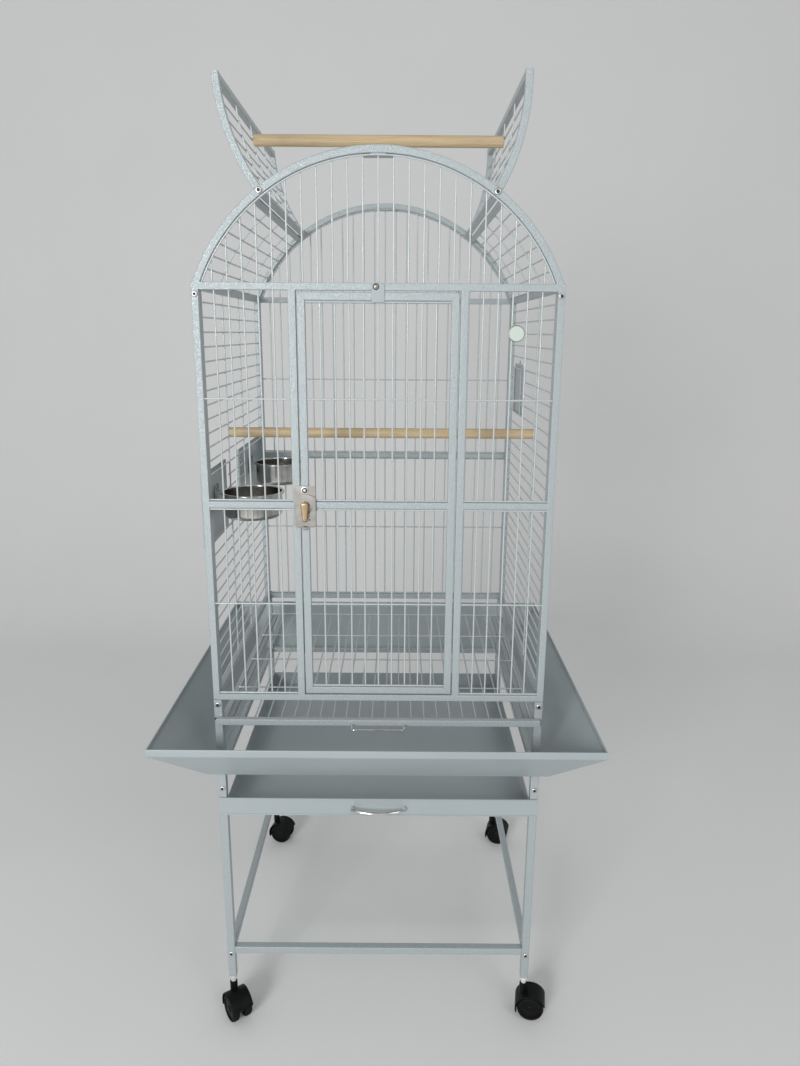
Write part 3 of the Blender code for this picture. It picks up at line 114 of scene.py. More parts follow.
@dataclass
class Paintbox:
    """Node tree of one material, with short calls for the textures that the finishes share."""

    name: str
    tree: bpy.types.NodeTree = field(init=False)
    shader: bpy.types.Node = field(init=False)
    material: bpy.types.Material = field(init=False)

    def __post_init__(self) -> None:
        """Make the material and keep its Principled shader."""
        self.material = bpy.data.materials.new(self.name)
        self.material.use_nodes = True
        self.tree = self.material.node_tree
        self.shader = self.tree.nodes["Principled BSDF"]

    def node(self, kind: str, **values: object) -> bpy.types.Node:
        """Add a node.

        Args:
            kind: Blender's node type name.
            values: attributes of the node, or default values of inputs with that name.

        Returns:
            The new node.
        """
        made = self.tree.nodes.new(kind)
        for key, value in values.items():
            if key in made.inputs:
                made.inputs[key].default_value = value
            else:
                setattr(made, key, value)
        return made

    def link(self, source: Socket, target: Socket) -> None:
        """Join two sockets."""
        self.tree.links.new(source, target)

    def place(self, stretch: tuple[float, float, float] = (1.0, 1.0, 1.0)) -> Socket:
        """Object coordinates, stretched along the axes.

        Args:
            stretch: scale of the pattern along X, Y and Z.

        Returns:
            The vector socket.
        """
        coordinates = self.node("ShaderNodeTexCoord")
        mapping = self.node("ShaderNodeMapping", Scale=stretch)
        self.link(coordinates.outputs["Object"], mapping.inputs["Vector"])
        return mapping.outputs["Vector"]

    def noise(self, scale: float, detail: float = 3.0,
              stretch: tuple[float, float, float] = (1.0, 1.0, 1.0)) -> Socket:
        """A noise pattern.

        Args:
            scale: cells per metre.
            detail: octaves of finer noise.
            stretch: scale along X, Y and Z.

        Returns:
            The pattern's value socket.
        """
        texture = self.node("ShaderNodeTexNoise", Scale=scale, Detail=detail)
        self.link(self.place(stretch), texture.inputs["Vector"])
        return texture.outputs["Fac"]

    def cells(self, scale: float) -> Socket:
        """Rounded dimples, as in hammered paint.

        Args:
            scale: dimples per metre.

        Returns:
            The socket of the distance from the nearest dimple's middle.
        """
        texture = self.node("ShaderNodeTexVoronoi", feature="SMOOTH_F1", Scale=scale)
        self.link(self.place(), texture.inputs["Vector"])
        return texture.outputs["Distance"]

    def ramp(self, value: Socket, stops: Sequence[tuple[float, Colour]]) -> Socket:
        """Turn a value into a colour.

        Args:
            value: the socket to read.
            stops: places from 0 to 1 and their colours.

        Returns:
            The colour socket.
        """
        ramp = self.node("ShaderNodeValToRGB")
        elements = ramp.color_ramp.elements
        while len(elements) < len(stops):
            elements.new(0.5)
        for element, (place, colour) in zip(elements, stops):
            element.position = place
            element.color = colour
        self.link(value, ramp.inputs["Fac"])
        return ramp.outputs["Color"]

    def spread(self, value: Socket, low: float, high: float) -> Socket:
        """Stretch a pattern to run from low to high.

        Args:
            value: the pattern's socket.
            low: value at the pattern's low end.
            high: value at its high end.

        Returns:
            The socket of the stretched pattern.
        """
        mapped = self.node("ShaderNodeMapRange")
        for name, number in (("From Min", NOISE_LOW), ("From Max", NOISE_HIGH),
                             ("To Min", low), ("To Max", high)):
            mapped.inputs[name].default_value = number
        self.link(value, mapped.inputs["Value"])
        return mapped.outputs["Result"]

    def add(self, first: Socket, second: Socket) -> Socket:
        """Sum of two values.

        Args:
            first: one socket.
            second: the other socket.

        Returns:
            The sum's socket.
        """
        summed = self.node("ShaderNodeMath", operation="ADD")
        self.link(first, summed.inputs[0])
        self.link(second, summed.inputs[1])
        return summed.outputs["Value"]

    def bump(self, height: Socket, distance: float, strength: float = 1.0) -> None:
        """Raise the surface by a pattern.

        Args:
            height: the pattern's socket.
            distance: the relief in metres.
            strength: share of the relief that the shading shows.
        """
        bump = self.node("ShaderNodeBump", Strength=strength, Distance=distance)
        self.link(height, bump.inputs["Height"])
        self.link(bump.outputs["Normal"], self.shader.inputs["Normal"])


def shade(colour: Colour, factor: float) -> Colour:
    """A colour made lighter or darker."""
    return (colour[0] * factor, colour[1] * factor, colour[2] * factor, 1.0)


@dataclass(frozen=True)
class Finish:
    """A surface finish: its material is made once and shared by the pieces that wear it."""

    name: str
    colour: Colour
    roughness: float
    metallic: float = 0.0
    specular: float = 0.5

    def material(self) -> bpy.types.Material:
        """The finish's material, painted on first use.

        Returns:
            The material that all pieces in this finish share.
        """
        known = bpy.data.materials.get(self.name)
        if known is not None:
            return known
        paint = Paintbox(self.name)
        for name, value in (("Base Color", self.colour), ("Roughness", self.roughness),
                            ("Metallic", self.metallic), ("Specular IOR Level", self.specular)):
            paint.shader.inputs[name].default_value = value
        self.paint(paint)
        return paint.material

    def paint(self, paint: Paintbox) -> None:
        """Add the finish's own patterns; the plain finish has a soft cloudiness."""
        self.colour_by(paint, paint.noise(30.0), 0.94, 1.04)

    def clouded(self, paint: Paintbox, pattern: Socket, dark: float,
                light: float) -> Socket:
        """The finish's colour, varied by a pattern between two shades of it."""
        return paint.ramp(pattern, [(NOISE_LOW, shade(self.colour, dark)),
                                    (NOISE_HIGH, shade(self.colour, light))])

    def colour_by(self, paint: Paintbox, pattern: Socket, dark: float,
                  light: float) -> None:
        """Let the shader's colour vary by a pattern between two shades of the finish."""
        paint.link(self.clouded(paint, pattern, dark, light), paint.shader.inputs["Base Color"])

    def dull_by(self, paint: Paintbox, pattern: Socket, low: float,
                high: float) -> None:
        """Let the shader's roughness vary by a pattern between two values."""
        paint.link(paint.spread(pattern, low, high), paint.shader.inputs["Roughness"])


@dataclass(frozen=True)
class HammeredCoat(Finish):
    """Powder coat with the small dimples of hammered paint."""

    dimples: float = 420.0
    relief: float = 0.00035
    sparkle: float = 0.14

    def paint(self, paint: Paintbox) -> None:
        """Dimples with a sparkle between them and a faint cloudiness along the tubes.

        Args:
            paint: the material's nodes.
        """
        dimples = paint.cells(self.dimples)
        self.colour_by(paint, paint.add(paint.noise(14.0), paint.noise(160.0)), 0.96, 1.05)
        self.dull_by(paint, dimples, self.roughness - self.sparkle, self.roughness + self.sparkle)
        paint.bump(paint.add(dimples, paint.noise(900.0, 1.0)), self.relief)


@dataclass(frozen=True)
class SheetCoat(Finish):
    """Smooth powder coat on sheet steel, with a faint orange peel."""

    peel: float = 260.0
    relief: float = 0.00012

    def paint(self, paint: Paintbox) -> None:
        """Orange peel, dusty patches and a roughness that follows them.

        Args:
            paint: the material's nodes.
        """
        dust = paint.noise(6.0, 6.0)
        self.colour_by(paint, dust, 0.95, 1.05)
        self.dull_by(paint, dust, self.roughness - 0.05, self.roughness + 0.10)
        paint.bump(paint.noise(self.peel, 1.0), self.relief, 0.6)


@dataclass(frozen=True)
class BrushedMetal(Finish):
    """Rolled or plated metal, with fine lines along one direction."""

    lines: tuple[float, float, float] = (12.0, 12.0, 420.0)
    relief: float = 0.00003

    def paint(self, paint: Paintbox) -> None:
        """Fine lines, and tarnish in soft patches.

        Args:
            paint: the material's nodes.
        """
        lines = paint.noise(1.0, 2.0, self.lines)
        tarnish = paint.noise(75.0, 4.0)
        self.colour_by(paint, tarnish, 0.78, 1.08)
        self.dull_by(paint, paint.add(lines, paint.noise(40.0)), self.roughness * 0.4,
                     self.roughness * 1.3)
        paint.bump(lines, self.relief, 0.5)


@dataclass(frozen=True)
class Pine(Finish):
    """Bare pine dowel with its grain along X."""

    latewood: tuple[float, float, float] = (0.62, 0.47, 0.32)
    relief: float = 0.00012

    def paint(self, paint: Paintbox) -> None:
        """Growth rings drawn out along the dowel, with fine pores.

        Args:
            paint: the material's nodes.
        """
        rings = paint.node("ShaderNodeTexWave", Scale=26.0, Distortion=5.0, Detail=3.0,
                           wave_type="BANDS", bands_direction="Z")
        paint.link(paint.place((0.35, 5.0, 9.0)), rings.inputs["Vector"])
        grain = paint.add(rings.outputs["Fac"], paint.noise(1.0, 5.0, (9.0, 500.0, 500.0)))
        half = paint.node("ShaderNodeMath", operation="MULTIPLY")
        half.inputs[1].default_value = 0.5
        paint.link(grain, half.inputs[0])
        warm = (*(tone * share for tone, share in zip(self.colour, self.latewood)), 1.0)
        paint.link(paint.ramp(half.outputs["Value"], [(0.24, warm), (0.46, self.colour),
                                                      (0.72, shade(self.colour, 1.2))]),
                   paint.shader.inputs["Base Color"])
        paint.bump(half.outputs["Value"], self.relief, 0.7)


@dataclass(frozen=True)
class MouldedPlastic(Finish):
    """Moulded plastic with a fine spark-eroded grain."""

    grain: float = 1500.0
    relief: float = 0.00008

    def paint(self, paint: Paintbox) -> None:
        """Fine grain and scuffs that dull the surface.

        Args:
            paint: the material's nodes.
        """
        scuffs = paint.noise(55.0, 6.0)
        self.colour_by(paint, scuffs, 0.8, 1.35)
        self.dull_by(paint, scuffs, self.roughness - 0.06, self.roughness + 0.12)
        paint.bump(paint.noise(self.grain, 1.0), self.relief, 0.6)


SHORT_LINES = (90.0, 90.0, 90.0)
SOFT_LINES = (60.0, 60.0, 60.0)

COAT = HammeredCoat("hammered_powder_coat", (0.38, 0.425, 0.436, 1.0), 0.38, 0.12,
                    dimples=620.0, relief=0.0004)
WIRE_COAT = HammeredCoat("wire_powder_coat", (0.50, 0.54, 0.545, 1.0), 0.32, 0.10,
                         dimples=800.0, relief=0.0001)
SHEET = SheetCoat("sheet_powder_coat", (0.385, 0.435, 0.447, 1.0), 0.34, 0.08)
STEEL = BrushedMetal("zinc_plated_steel", (0.37, 0.355, 0.33, 1.0), 0.32, 1.0, lines=SHORT_LINES)
BOLT = BrushedMetal("bright_bolt_steel", (0.74, 0.74, 0.73, 1.0), 0.26, 1.0, lines=SHORT_LINES)
SOCKET_DARK = Finish("bolt_socket_shadow", (0.02, 0.02, 0.02, 1.0), 0.6)
STAINLESS = BrushedMetal("polished_stainless", (0.60, 0.585, 0.555, 1.0), 0.13, 1.0)
CHROME = BrushedMetal("chromed_wire", (0.76, 0.76, 0.75, 1.0), 0.12, 1.0, lines=SOFT_LINES)
BRASS = BrushedMetal("aged_brass", (0.50, 0.36, 0.23, 1.0), 0.26, 1.0, lines=SOFT_LINES)
PINE = Pine("bare_pine", (0.58, 0.47, 0.305, 1.0), 0.55, specular=0.35)
BLACK = MouldedPlastic("black_moulded_plastic", (0.005, 0.0053, 0.0056, 1.0), 0.42, specular=0.12)
TREAD = MouldedPlastic("black_wheel_tread", (0.007, 0.0072, 0.0075, 1.0), 0.62, specular=0.12)
WHITE = MouldedPlastic("white_moulded_plastic", (0.72, 0.72, 0.70, 1.0), 0.40)
ENAMEL = SheetCoat("pale_green_badge_enamel", (0.55, 0.63, 0.57, 1.0), 0.28)


def rounded_corners(outline: Sequence[Point2], radius: float,
                    steps: int = CORNER_STEPS) -> list[Point2]:
    """Round every corner of an outline.

    Args:
        outline: corners in order, as (u, v).
        radius: radius of the corners, held to half of the shorter side at each.
        steps: facets of a quarter turn.

    Returns:
        The rounded outline in the same order.
    """
    rounded: list[Point2] = []
    count = len(outline)
    nearly_straight = math.pi - 0.05
    longest_cut = 0.49
    for index in range(count):
        corner = Vector(outline[index])
        before = Vector(outline[index - 1]) - corner
        after = Vector(outline[(index + 1) % count]) - corner
        inner = before.angle(after)
        if inner > nearly_straight:
            rounded.append((corner.x, corner.y))
            continue
        cut = min(radius / math.tan(inner / 2), before.length * longest_cut,
                  after.length * longest_cut)
        first = corner + before.normalized() * cut
        last = corner + after.normalized() * cut
        facets = max(1, round(steps * (math.pi - inner) / (math.pi / 2)))
        for step in range(facets + 1):
            share = step / facets
            place = first.lerp(corner, share).lerp(corner.lerp(last, share), share)
            rounded.append((place.x, place.y))
    return rounded


def tube_section(width: float, height: float, corner: float = BAR_CORNER) -> list[Point2]:
    """Outline of a rounded rectangular bar about its own middle."""
    u, v = width / 2, height / 2
    return rounded_corners([(-u, -v), (u, -v), (u, v), (-u, v)], corner)


def round_section(radius: float, sides: int = WIRE_SIDES) -> list[Point2]:
    """Outline of a round wire about its own middle."""
    return [(radius * math.cos(math.tau * (side + 0.5) / sides),
             radius * math.sin(math.tau * (side + 0.5) / sides)) for side in range(sides)]


def arc(centre: Point2, radius: float, start: float, end: float, steps: int) -> list[Point2]:
    """Points on an arc in its own plane.

    Args:
        centre: middle of the arc.
        radius: its radius.
        start: first angle, from the u axis.
        end: last angle.
        steps: facets along it.

    Returns:
        The points, both ends included.
    """
    return [(centre[0] + radius * math.cos(start + (end - start) * step / steps),
             centre[1] + radius * math.sin(start + (end - start) * step / steps))
            for step in range(steps + 1)]


X_AXIS = Vector((1.0, 0.0, 0.0))
Y_AXIS = Vector((0.0, 1.0, 0.0))
Z_AXIS = Vector((0.0, 0.0, 1.0))


class Shape:
    """Mesh of one visible piece, gathered from swept, turned and cut forms in its finishes."""

    def __init__(self, finish: Finish) -> None:
        """Start an empty piece.

        Args:
            finish: its main finish.
        """
        self.mesh = bmesh.new()
        self.finishes: list[Finish] = [finish]
        self.current = 0

    def wear(self, finish: Finish) -> Shape:
        """Make the next forms in a finish.

        Args:
            finish: the finish to wear from now on.

        Returns:
            The shape itself, so that a form can follow at once.
        """
        if finish not in self.finishes:
            self.finishes.append(finish)
        self.current = self.finishes.index(finish)
        return self

    def face(self, corners: Sequence[bmesh.types.BMVert]) -> None:
        """Add one face in the present finish."""
        self.mesh.faces.new(corners).material_index = self.current

    def loft(self, rings: Sequence[Sequence[Vector]], looped: bool = False) -> None:
        """Join rings of points in order into one closed form.

        Args:
            rings: rings with the same number of points, or of one point for a tip.
            looped: whether the last ring joins the first; otherwise both ends are closed.
        """
        made = [[self.mesh.verts.new(place) for place in ring] for ring in rings]
        pairs = list(zip(made, made[1:]))
        if looped:
            pairs.append((made[-1], made[0]))
        for first, second in pairs:
            count = max(len(first), len(second))
            for index in range(count):
                after = (index + 1) % count
                if len(first) == 1:
                    self.face((first[0], second[index], second[after]))
                elif len(second) == 1:
                    self.face((first[index], second[0], first[after]))
                else:
                    self.face((first[index], second[index], second[after], first[after]))
        if not looped:
            for ring in (made[0], made[-1]):
                if len(ring) > 2:
                    self.face(ring)

    def sweep(self, section: Sequence[Point2], path: Sequence[Point3], across: Vector,
              looped: bool = False) -> None:
        """Carry a section along a flat path, with mitred corners.

        Args:
            section: outline as (u, v); v runs along across and u to the side of the path.
            path: points of the path.
            across: the normal of the path's plane.
            looped: whether the path closes on itself.
        """
        path = [Vector(place) for place in path]
        rings = []
        count = len(path)
        for index, place in enumerate(path):
            sides = []
            if looped or index > 0:
                sides.append((place - path[index - 1]).normalized().cross(across))
            if looped or index < count - 1:
                sides.append((path[(index + 1) % count] - place).normalized().cross(across))
            mitre = sides[0] + sides[-1]
            mitre = mitre / (1.0 + sides[0].dot(sides[-1]))
            rings.append([place + mitre * u + across * v for u, v in section])
        self.loft(rings, looped)

    def wire(self, path: Sequence[Point3], radius: float, across: Vector | None = None,
             looped: bool = False, sides: int = WIRE_SIDES) -> None:
        """Add a round wire.

        Args:
            path: points of the wire.
            radius: the wire's radius.
            across: the normal of the path's plane; a straight wire needs none.
            looped: whether the wire closes on itself.
            sides: facets round the wire.
        """
        if across is None:
            run = (Vector(path[-1]) - Vector(path[0])).normalized()
            across = run.orthogonal().normalized()
        self.sweep(round_section(radius, sides), path, across, looped)

    def bar(self, start: Point3, end: Point3, size: tuple[float, float], across: Vector,
            corner: float = BAR_CORNER) -> None:
        """Add a straight rounded bar.

        Args:
            start: middle of one end.
            end: middle of the other end.
            size: width to the side, and height along across.
            across: the direction of the height.
            corner: radius of the long edges.
        """
        self.sweep(tube_section(size[0], size[1], corner), [start, end], across)

    def block(self, low: Vector, high: Vector, edge: float = 0.0005) -> None:
        """Add a box with bevelled edges.

        Args:
            low: its lowest corner.
            high: its highest corner.
            edge: width of the bevels.
        """
        made = bmesh.ops.create_cube(self.mesh, size=1.0)["verts"]
        size = high - low
        placing = Matrix.Translation((low + high) / 2) @ Matrix.Diagonal((*size, 1.0))
        bmesh.ops.transform(self.mesh, matrix=placing, verts=made)
        for vertex in made:
            for face in vertex.link_faces:
                face.material_index = self.current
        edges = list(dict.fromkeys(side for vertex in made for side in vertex.link_edges))
        bmesh.ops.bevel(self.mesh, geom=edges, offset=edge, segments=2, profile=0.5,
                        affect="EDGES", clamp_overlap=True, material=self.current)

    def turn(self, profile: Sequence[Point2], centre: Vector, axis: Vector, sides: int = 32,
             looped: bool = False) -> None:
        """Add a turned form.

        Args:
            profile: (radius, height) points along the outline.
            centre: where height zero lies.
            axis: the direction of the height.
            sides: facets round the axis.
            looped: whether the profile closes on itself, as a ring's does.
        """
        side = axis.orthogonal().normalized()
        other = axis.cross(side).normalized()
        rings = []
        for radius, height in profile:
            if radius == 0.0:
                rings.append([centre + axis * height])
                continue
            rings.append([centre + axis * height
                          + side * (radius * math.cos(math.tau * index / sides))
                          + other * (radius * math.sin(math.tau * index / sides))
                          for index in range(sides)])
        self.loft(rings, looped)

    def disc(self, radius: float, low: float, high: float, centre: Vector, axis: Vector,
             sides: int = 20) -> None:
        """Add a plain turned disc between two heights over its centre."""
        self.turn([(0.0, low), (radius, low), (radius, high), (0.0, high)], centre, axis, sides)

    def slab(self, outlines: Sequence[Sequence[Point2]], thickness: float, placing: Matrix,
             edge: float = 0.0003) -> None:
        """Add a flat plate with holes and eased edges.

        Args:
            outlines: the outer outline, then any holes, as (u, v).
            thickness: the plate's thickness.
            placing: takes (u, v, 0) to the middle of the plate.
            edge: radius of the edges, held to a third of the thickness.
        """
        edge = min(edge, thickness / 3)
        curve = bpy.data.curves.new("slab", "CURVE")
        curve.dimensions = "2D"
        curve.fill_mode = "BOTH"
        curve.extrude = thickness / 2 - edge
        curve.bevel_depth = edge
        curve.bevel_resolution = 1
        curve.offset = -edge
        for outline in outlines:
            spline = curve.splines.new("POLY")
            spline.points.add(len(outline) - 1)
            for point, (u, v) in zip(spline.points, outline):
                point.co = (u, v, 0.0, 1.0)
            spline.use_cyclic_u = True
        holder = bpy.data.objects.new("slab", curve)
        bpy.context.scene.collection.objects.link(holder)
        bpy.context.view_layer.update()
        flat = bpy.data.meshes.new_from_object(
            holder.evaluated_get(bpy.context.evaluated_depsgraph_get()))
        flat.transform(placing)
        known = len(self.mesh.faces)
        self.mesh.from_mesh(flat)
        self.mesh.faces.ensure_lookup_table()
        fresh = self.mesh.faces[known:]
        for face in fresh:
            face.material_index = self.current
        corners = list(dict.fromkeys(corner for face in fresh for corner in face.verts))
        bmesh.ops.remove_doubles(self.mesh, verts=corners, dist=1e-6)
        bpy.data.objects.remove(holder)
        bpy.data.curves.remove(curve)
        bpy.data.meshes.remove(flat)

    def bolt(self, place: Vector, outward: Vector, radius: float = 0.0042,
             height: float = 0.0024) -> None:
        """Add a button-head bolt with a hexagon socket.

        Args:
            place: middle of the seat under the head.
            outward: direction that the head faces.
            radius: radius of the head.
            height: height of the head.
        """
        side = outward.orthogonal().normalized()
        other = outward.cross(side).normalized()
        flats = radius * 0.52
        facets = 24

        def ring(reach: float, rise: float, hexagonal: bool = False) -> list[Vector]:
            """One ring of the head.

            Args:
                reach: its radius, or half the width across its flats.
                rise: its height over the seat.
                hexagonal: whether it has six flats.

            Returns:
                The ring's points.
            """
            places = []
            for index in range(facets):
                angle = math.tau * index / facets
                far = reach
                if hexagonal:
                    far = reach / math.cos((angle % (math.pi / 3)) - math.pi / 6)
                places.append(place + outward * rise + side * (far * math.cos(angle))
                              + other * (far * math.sin(angle)))
            return places

        self.wear(BOLT).loft([ring(radius, 0.0), ring(radius, height * 0.35),
                              ring(radius * 0.9, height * 0.8), ring(radius * 0.72, height),
                              ring(flats, height, True), ring(flats, height * 0.97, True)])
        # The socket's inside is drawn as a near-black hexagon: painted shade in the recess.
        self.wear(SOCKET_DARK).loft([ring(flats * 0.99, height * 0.4, True),
                                     ring(flats * 0.99, height * 0.985, True)])

    def turned_by(self, placing: Matrix) -> None:
        """Move everything made so far."""
        bmesh.ops.transform(self.mesh, matrix=placing, verts=self.mesh.verts)

    def piece(self, node: str, part: str, body: str = Body.CAGE.value) -> None:
        """Turn the gathered forms into a piece that rides on a body.

        Args:
            node: CAD node that it dresses and stands in for, which also begins its name.
            part: word for the piece, which its name has after the node's.
            body: name of the body that it moves with.
        """
        name = f"{node}_{part}"
        bmesh.ops.recalc_face_normals(self.mesh, faces=self.mesh.faces)
        mesh = bpy.data.meshes.new(name)
        self.mesh.to_mesh(mesh)
        self.mesh.free()
        for finish in self.finishes:
            mesh.materials.append(finish.material())
        for polygon in mesh.polygons:
            polygon.use_smooth = True
        mesh.set_sharp_from_angle(angle=SHARP_ANGLE)
        made = bpy.data.objects.new(name, mesh)
        bpy.context.scene.collection.objects.link(made)
        shading = made.modifiers.new("even_shading", "WEIGHTED_NORMAL")
        shading.keep_sharp = True
        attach(made, body)
        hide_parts(node)
        LOG.info("%s: %d faces on body %s", name, len(mesh.polygons), body)


def bend(points: Sequence[Vector], radius: float, steps: int = 4) -> list[Vector]:
    """Round the inner corners of an open wire's path.

    Args:
        points: corners of the path.
        radius: how far each bend reaches along its sides.
        steps: facets of each bend.

    Returns:
        The path with its bends.
    """
    path = [points[0]]
    for before, corner, after in zip(points, points[1:], points[2:]):
        first = corner + (before - corner).normalized() * radius
        last = corner + (after - corner).normalized() * radius
        for step in range(steps + 1):
            share = step / steps
            path.append(first.lerp(corner, share).lerp(corner.lerp(last, share), share))
    return path + [points[-1]]


def even(low: float, high: float, count: int) -> list[float]:
    """Places that divide a span evenly, without its ends."""
    return [low + (high - low) * (index + 1) / (count + 1) for index in range(count)]


@dataclass(frozen=True)
class Layout:
    """Places that the sub-assemblies share: the frame's own sizes, in metres."""

    half_width: float
    front: float
    bottom: float
    beam: float
    tube: float
    mid_rise: float = 0.3075
    feeder_drop: float = 0.0659
    wire: float = 0.00125
    pitch: float = 0.0205
    arch_rise: float = 0.1772
    pivot_angle: float = math.radians(36.3)
    leg: float = 0.0127
    gap: float = CLEARANCE

    @classmethod
    def from_frame(cls) -> Layout:
        """Read the cage's main sizes from the CAD frame.

        Returns:
            The layout of this cage.
        """
        panel_low, panel_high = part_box("front_panel")
        side_low, side_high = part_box("left_panel")
        tube = side_high.x - side_low.x
        return cls(panel_high.x, panel_low.y, panel_low.z, side_high.z - tube / 2, tube)

    @property
    def mid(self) -> float:
        """Height of the middle of the mid rails."""
        return self.bottom + self.mid_rise

    @property
    def feeder_row(self) -> float:
        """Height of the side wire under the feeder doors, from which the others are counted."""
        return self.mid - self.feeder_drop

    @property
    def cross_levels(self) -> tuple[float, float]:
        """Heights of the cross wires halfway below and above the mid rail."""
        half = self.tube / 2
        return ((self.bottom + self.tube + self.mid - half) / 2, (self.mid + self.beam) / 2)

    @property
    def rear(self) -> float:
        """Place of the rear face."""
        return -self.front

    @property
    def arch_outer(self) -> float:
        """Radius of the arch's outer face."""
        return (self.half_width ** 2 + self.arch_rise ** 2) / (2 * self.arch_rise)

    @property
    def arch_middle(self) -> float:
        """Radius of the middle of the arch's tube."""
        return self.arch_outer - self.tube / 2

    @property
    def arch_centre(self) -> float:
        """Height of the arch's centre."""
        return self.beam + self.arch_rise - self.arch_outer

    @property
    def roof_half(self) -> float:
        """Half the length of the roof between the two end panels."""
        return self.rear - self.tube - self.gap

    @property
    def crossing(self) -> float:
        """Distance between the middles of two wires that cross and are welded."""
        return 1.8 * self.wire

    @property
    def arc_inner(self) -> float:
        """Radius of the wires that cross under the roof's long ones."""
        return self.arch_middle - self.crossing

    def on_arch(self, radius: float, angle: float, y: float) -> Vector:
        """A point of the roof.

        Args:
            radius: distance from the arch's centre.
            angle: angle from the vertical, to the right.
            y: place along the cage.

        Returns:
            The point.
        """
        return Vector((radius * math.sin(angle), y, self.arch_centre + radius * math.cos(angle)))

    def hoop(self, radius: float, first: float, last: float, y: float,
             steps: int = ARCH_STEPS) -> list[Vector]:
        """Points round the roof.

        Args:
            radius: distance from the arch's centre.
            first: angle of the first point.
            last: angle of the last point.
            y: place along the cage.
            steps: facets between them.

        Returns:
            The points, both ends included.
        """
        return [self.on_arch(radius, first + (last - first) * step / steps, y)
                for step in range(steps + 1)]

    def along(self, angle: float, reach: float) -> list[Vector]:
        """Both ends of a straight run along the roof, on the middle of its tubes."""
        return [self.on_arch(self.arch_middle, angle, end * reach) for end in (-1, 1)]

    def upward(self, angle: float) -> Vector:
        """Direction away from the arch's centre at an angle."""
        return Vector((math.sin(angle), 0.0, math.cos(angle)))

    def pivot(self, side: Side) -> Vector:
        """Middle of the axis that a roof flap turns on."""
        return self.on_arch(self.arch_middle, side.value * self.pivot_angle, 0.0)


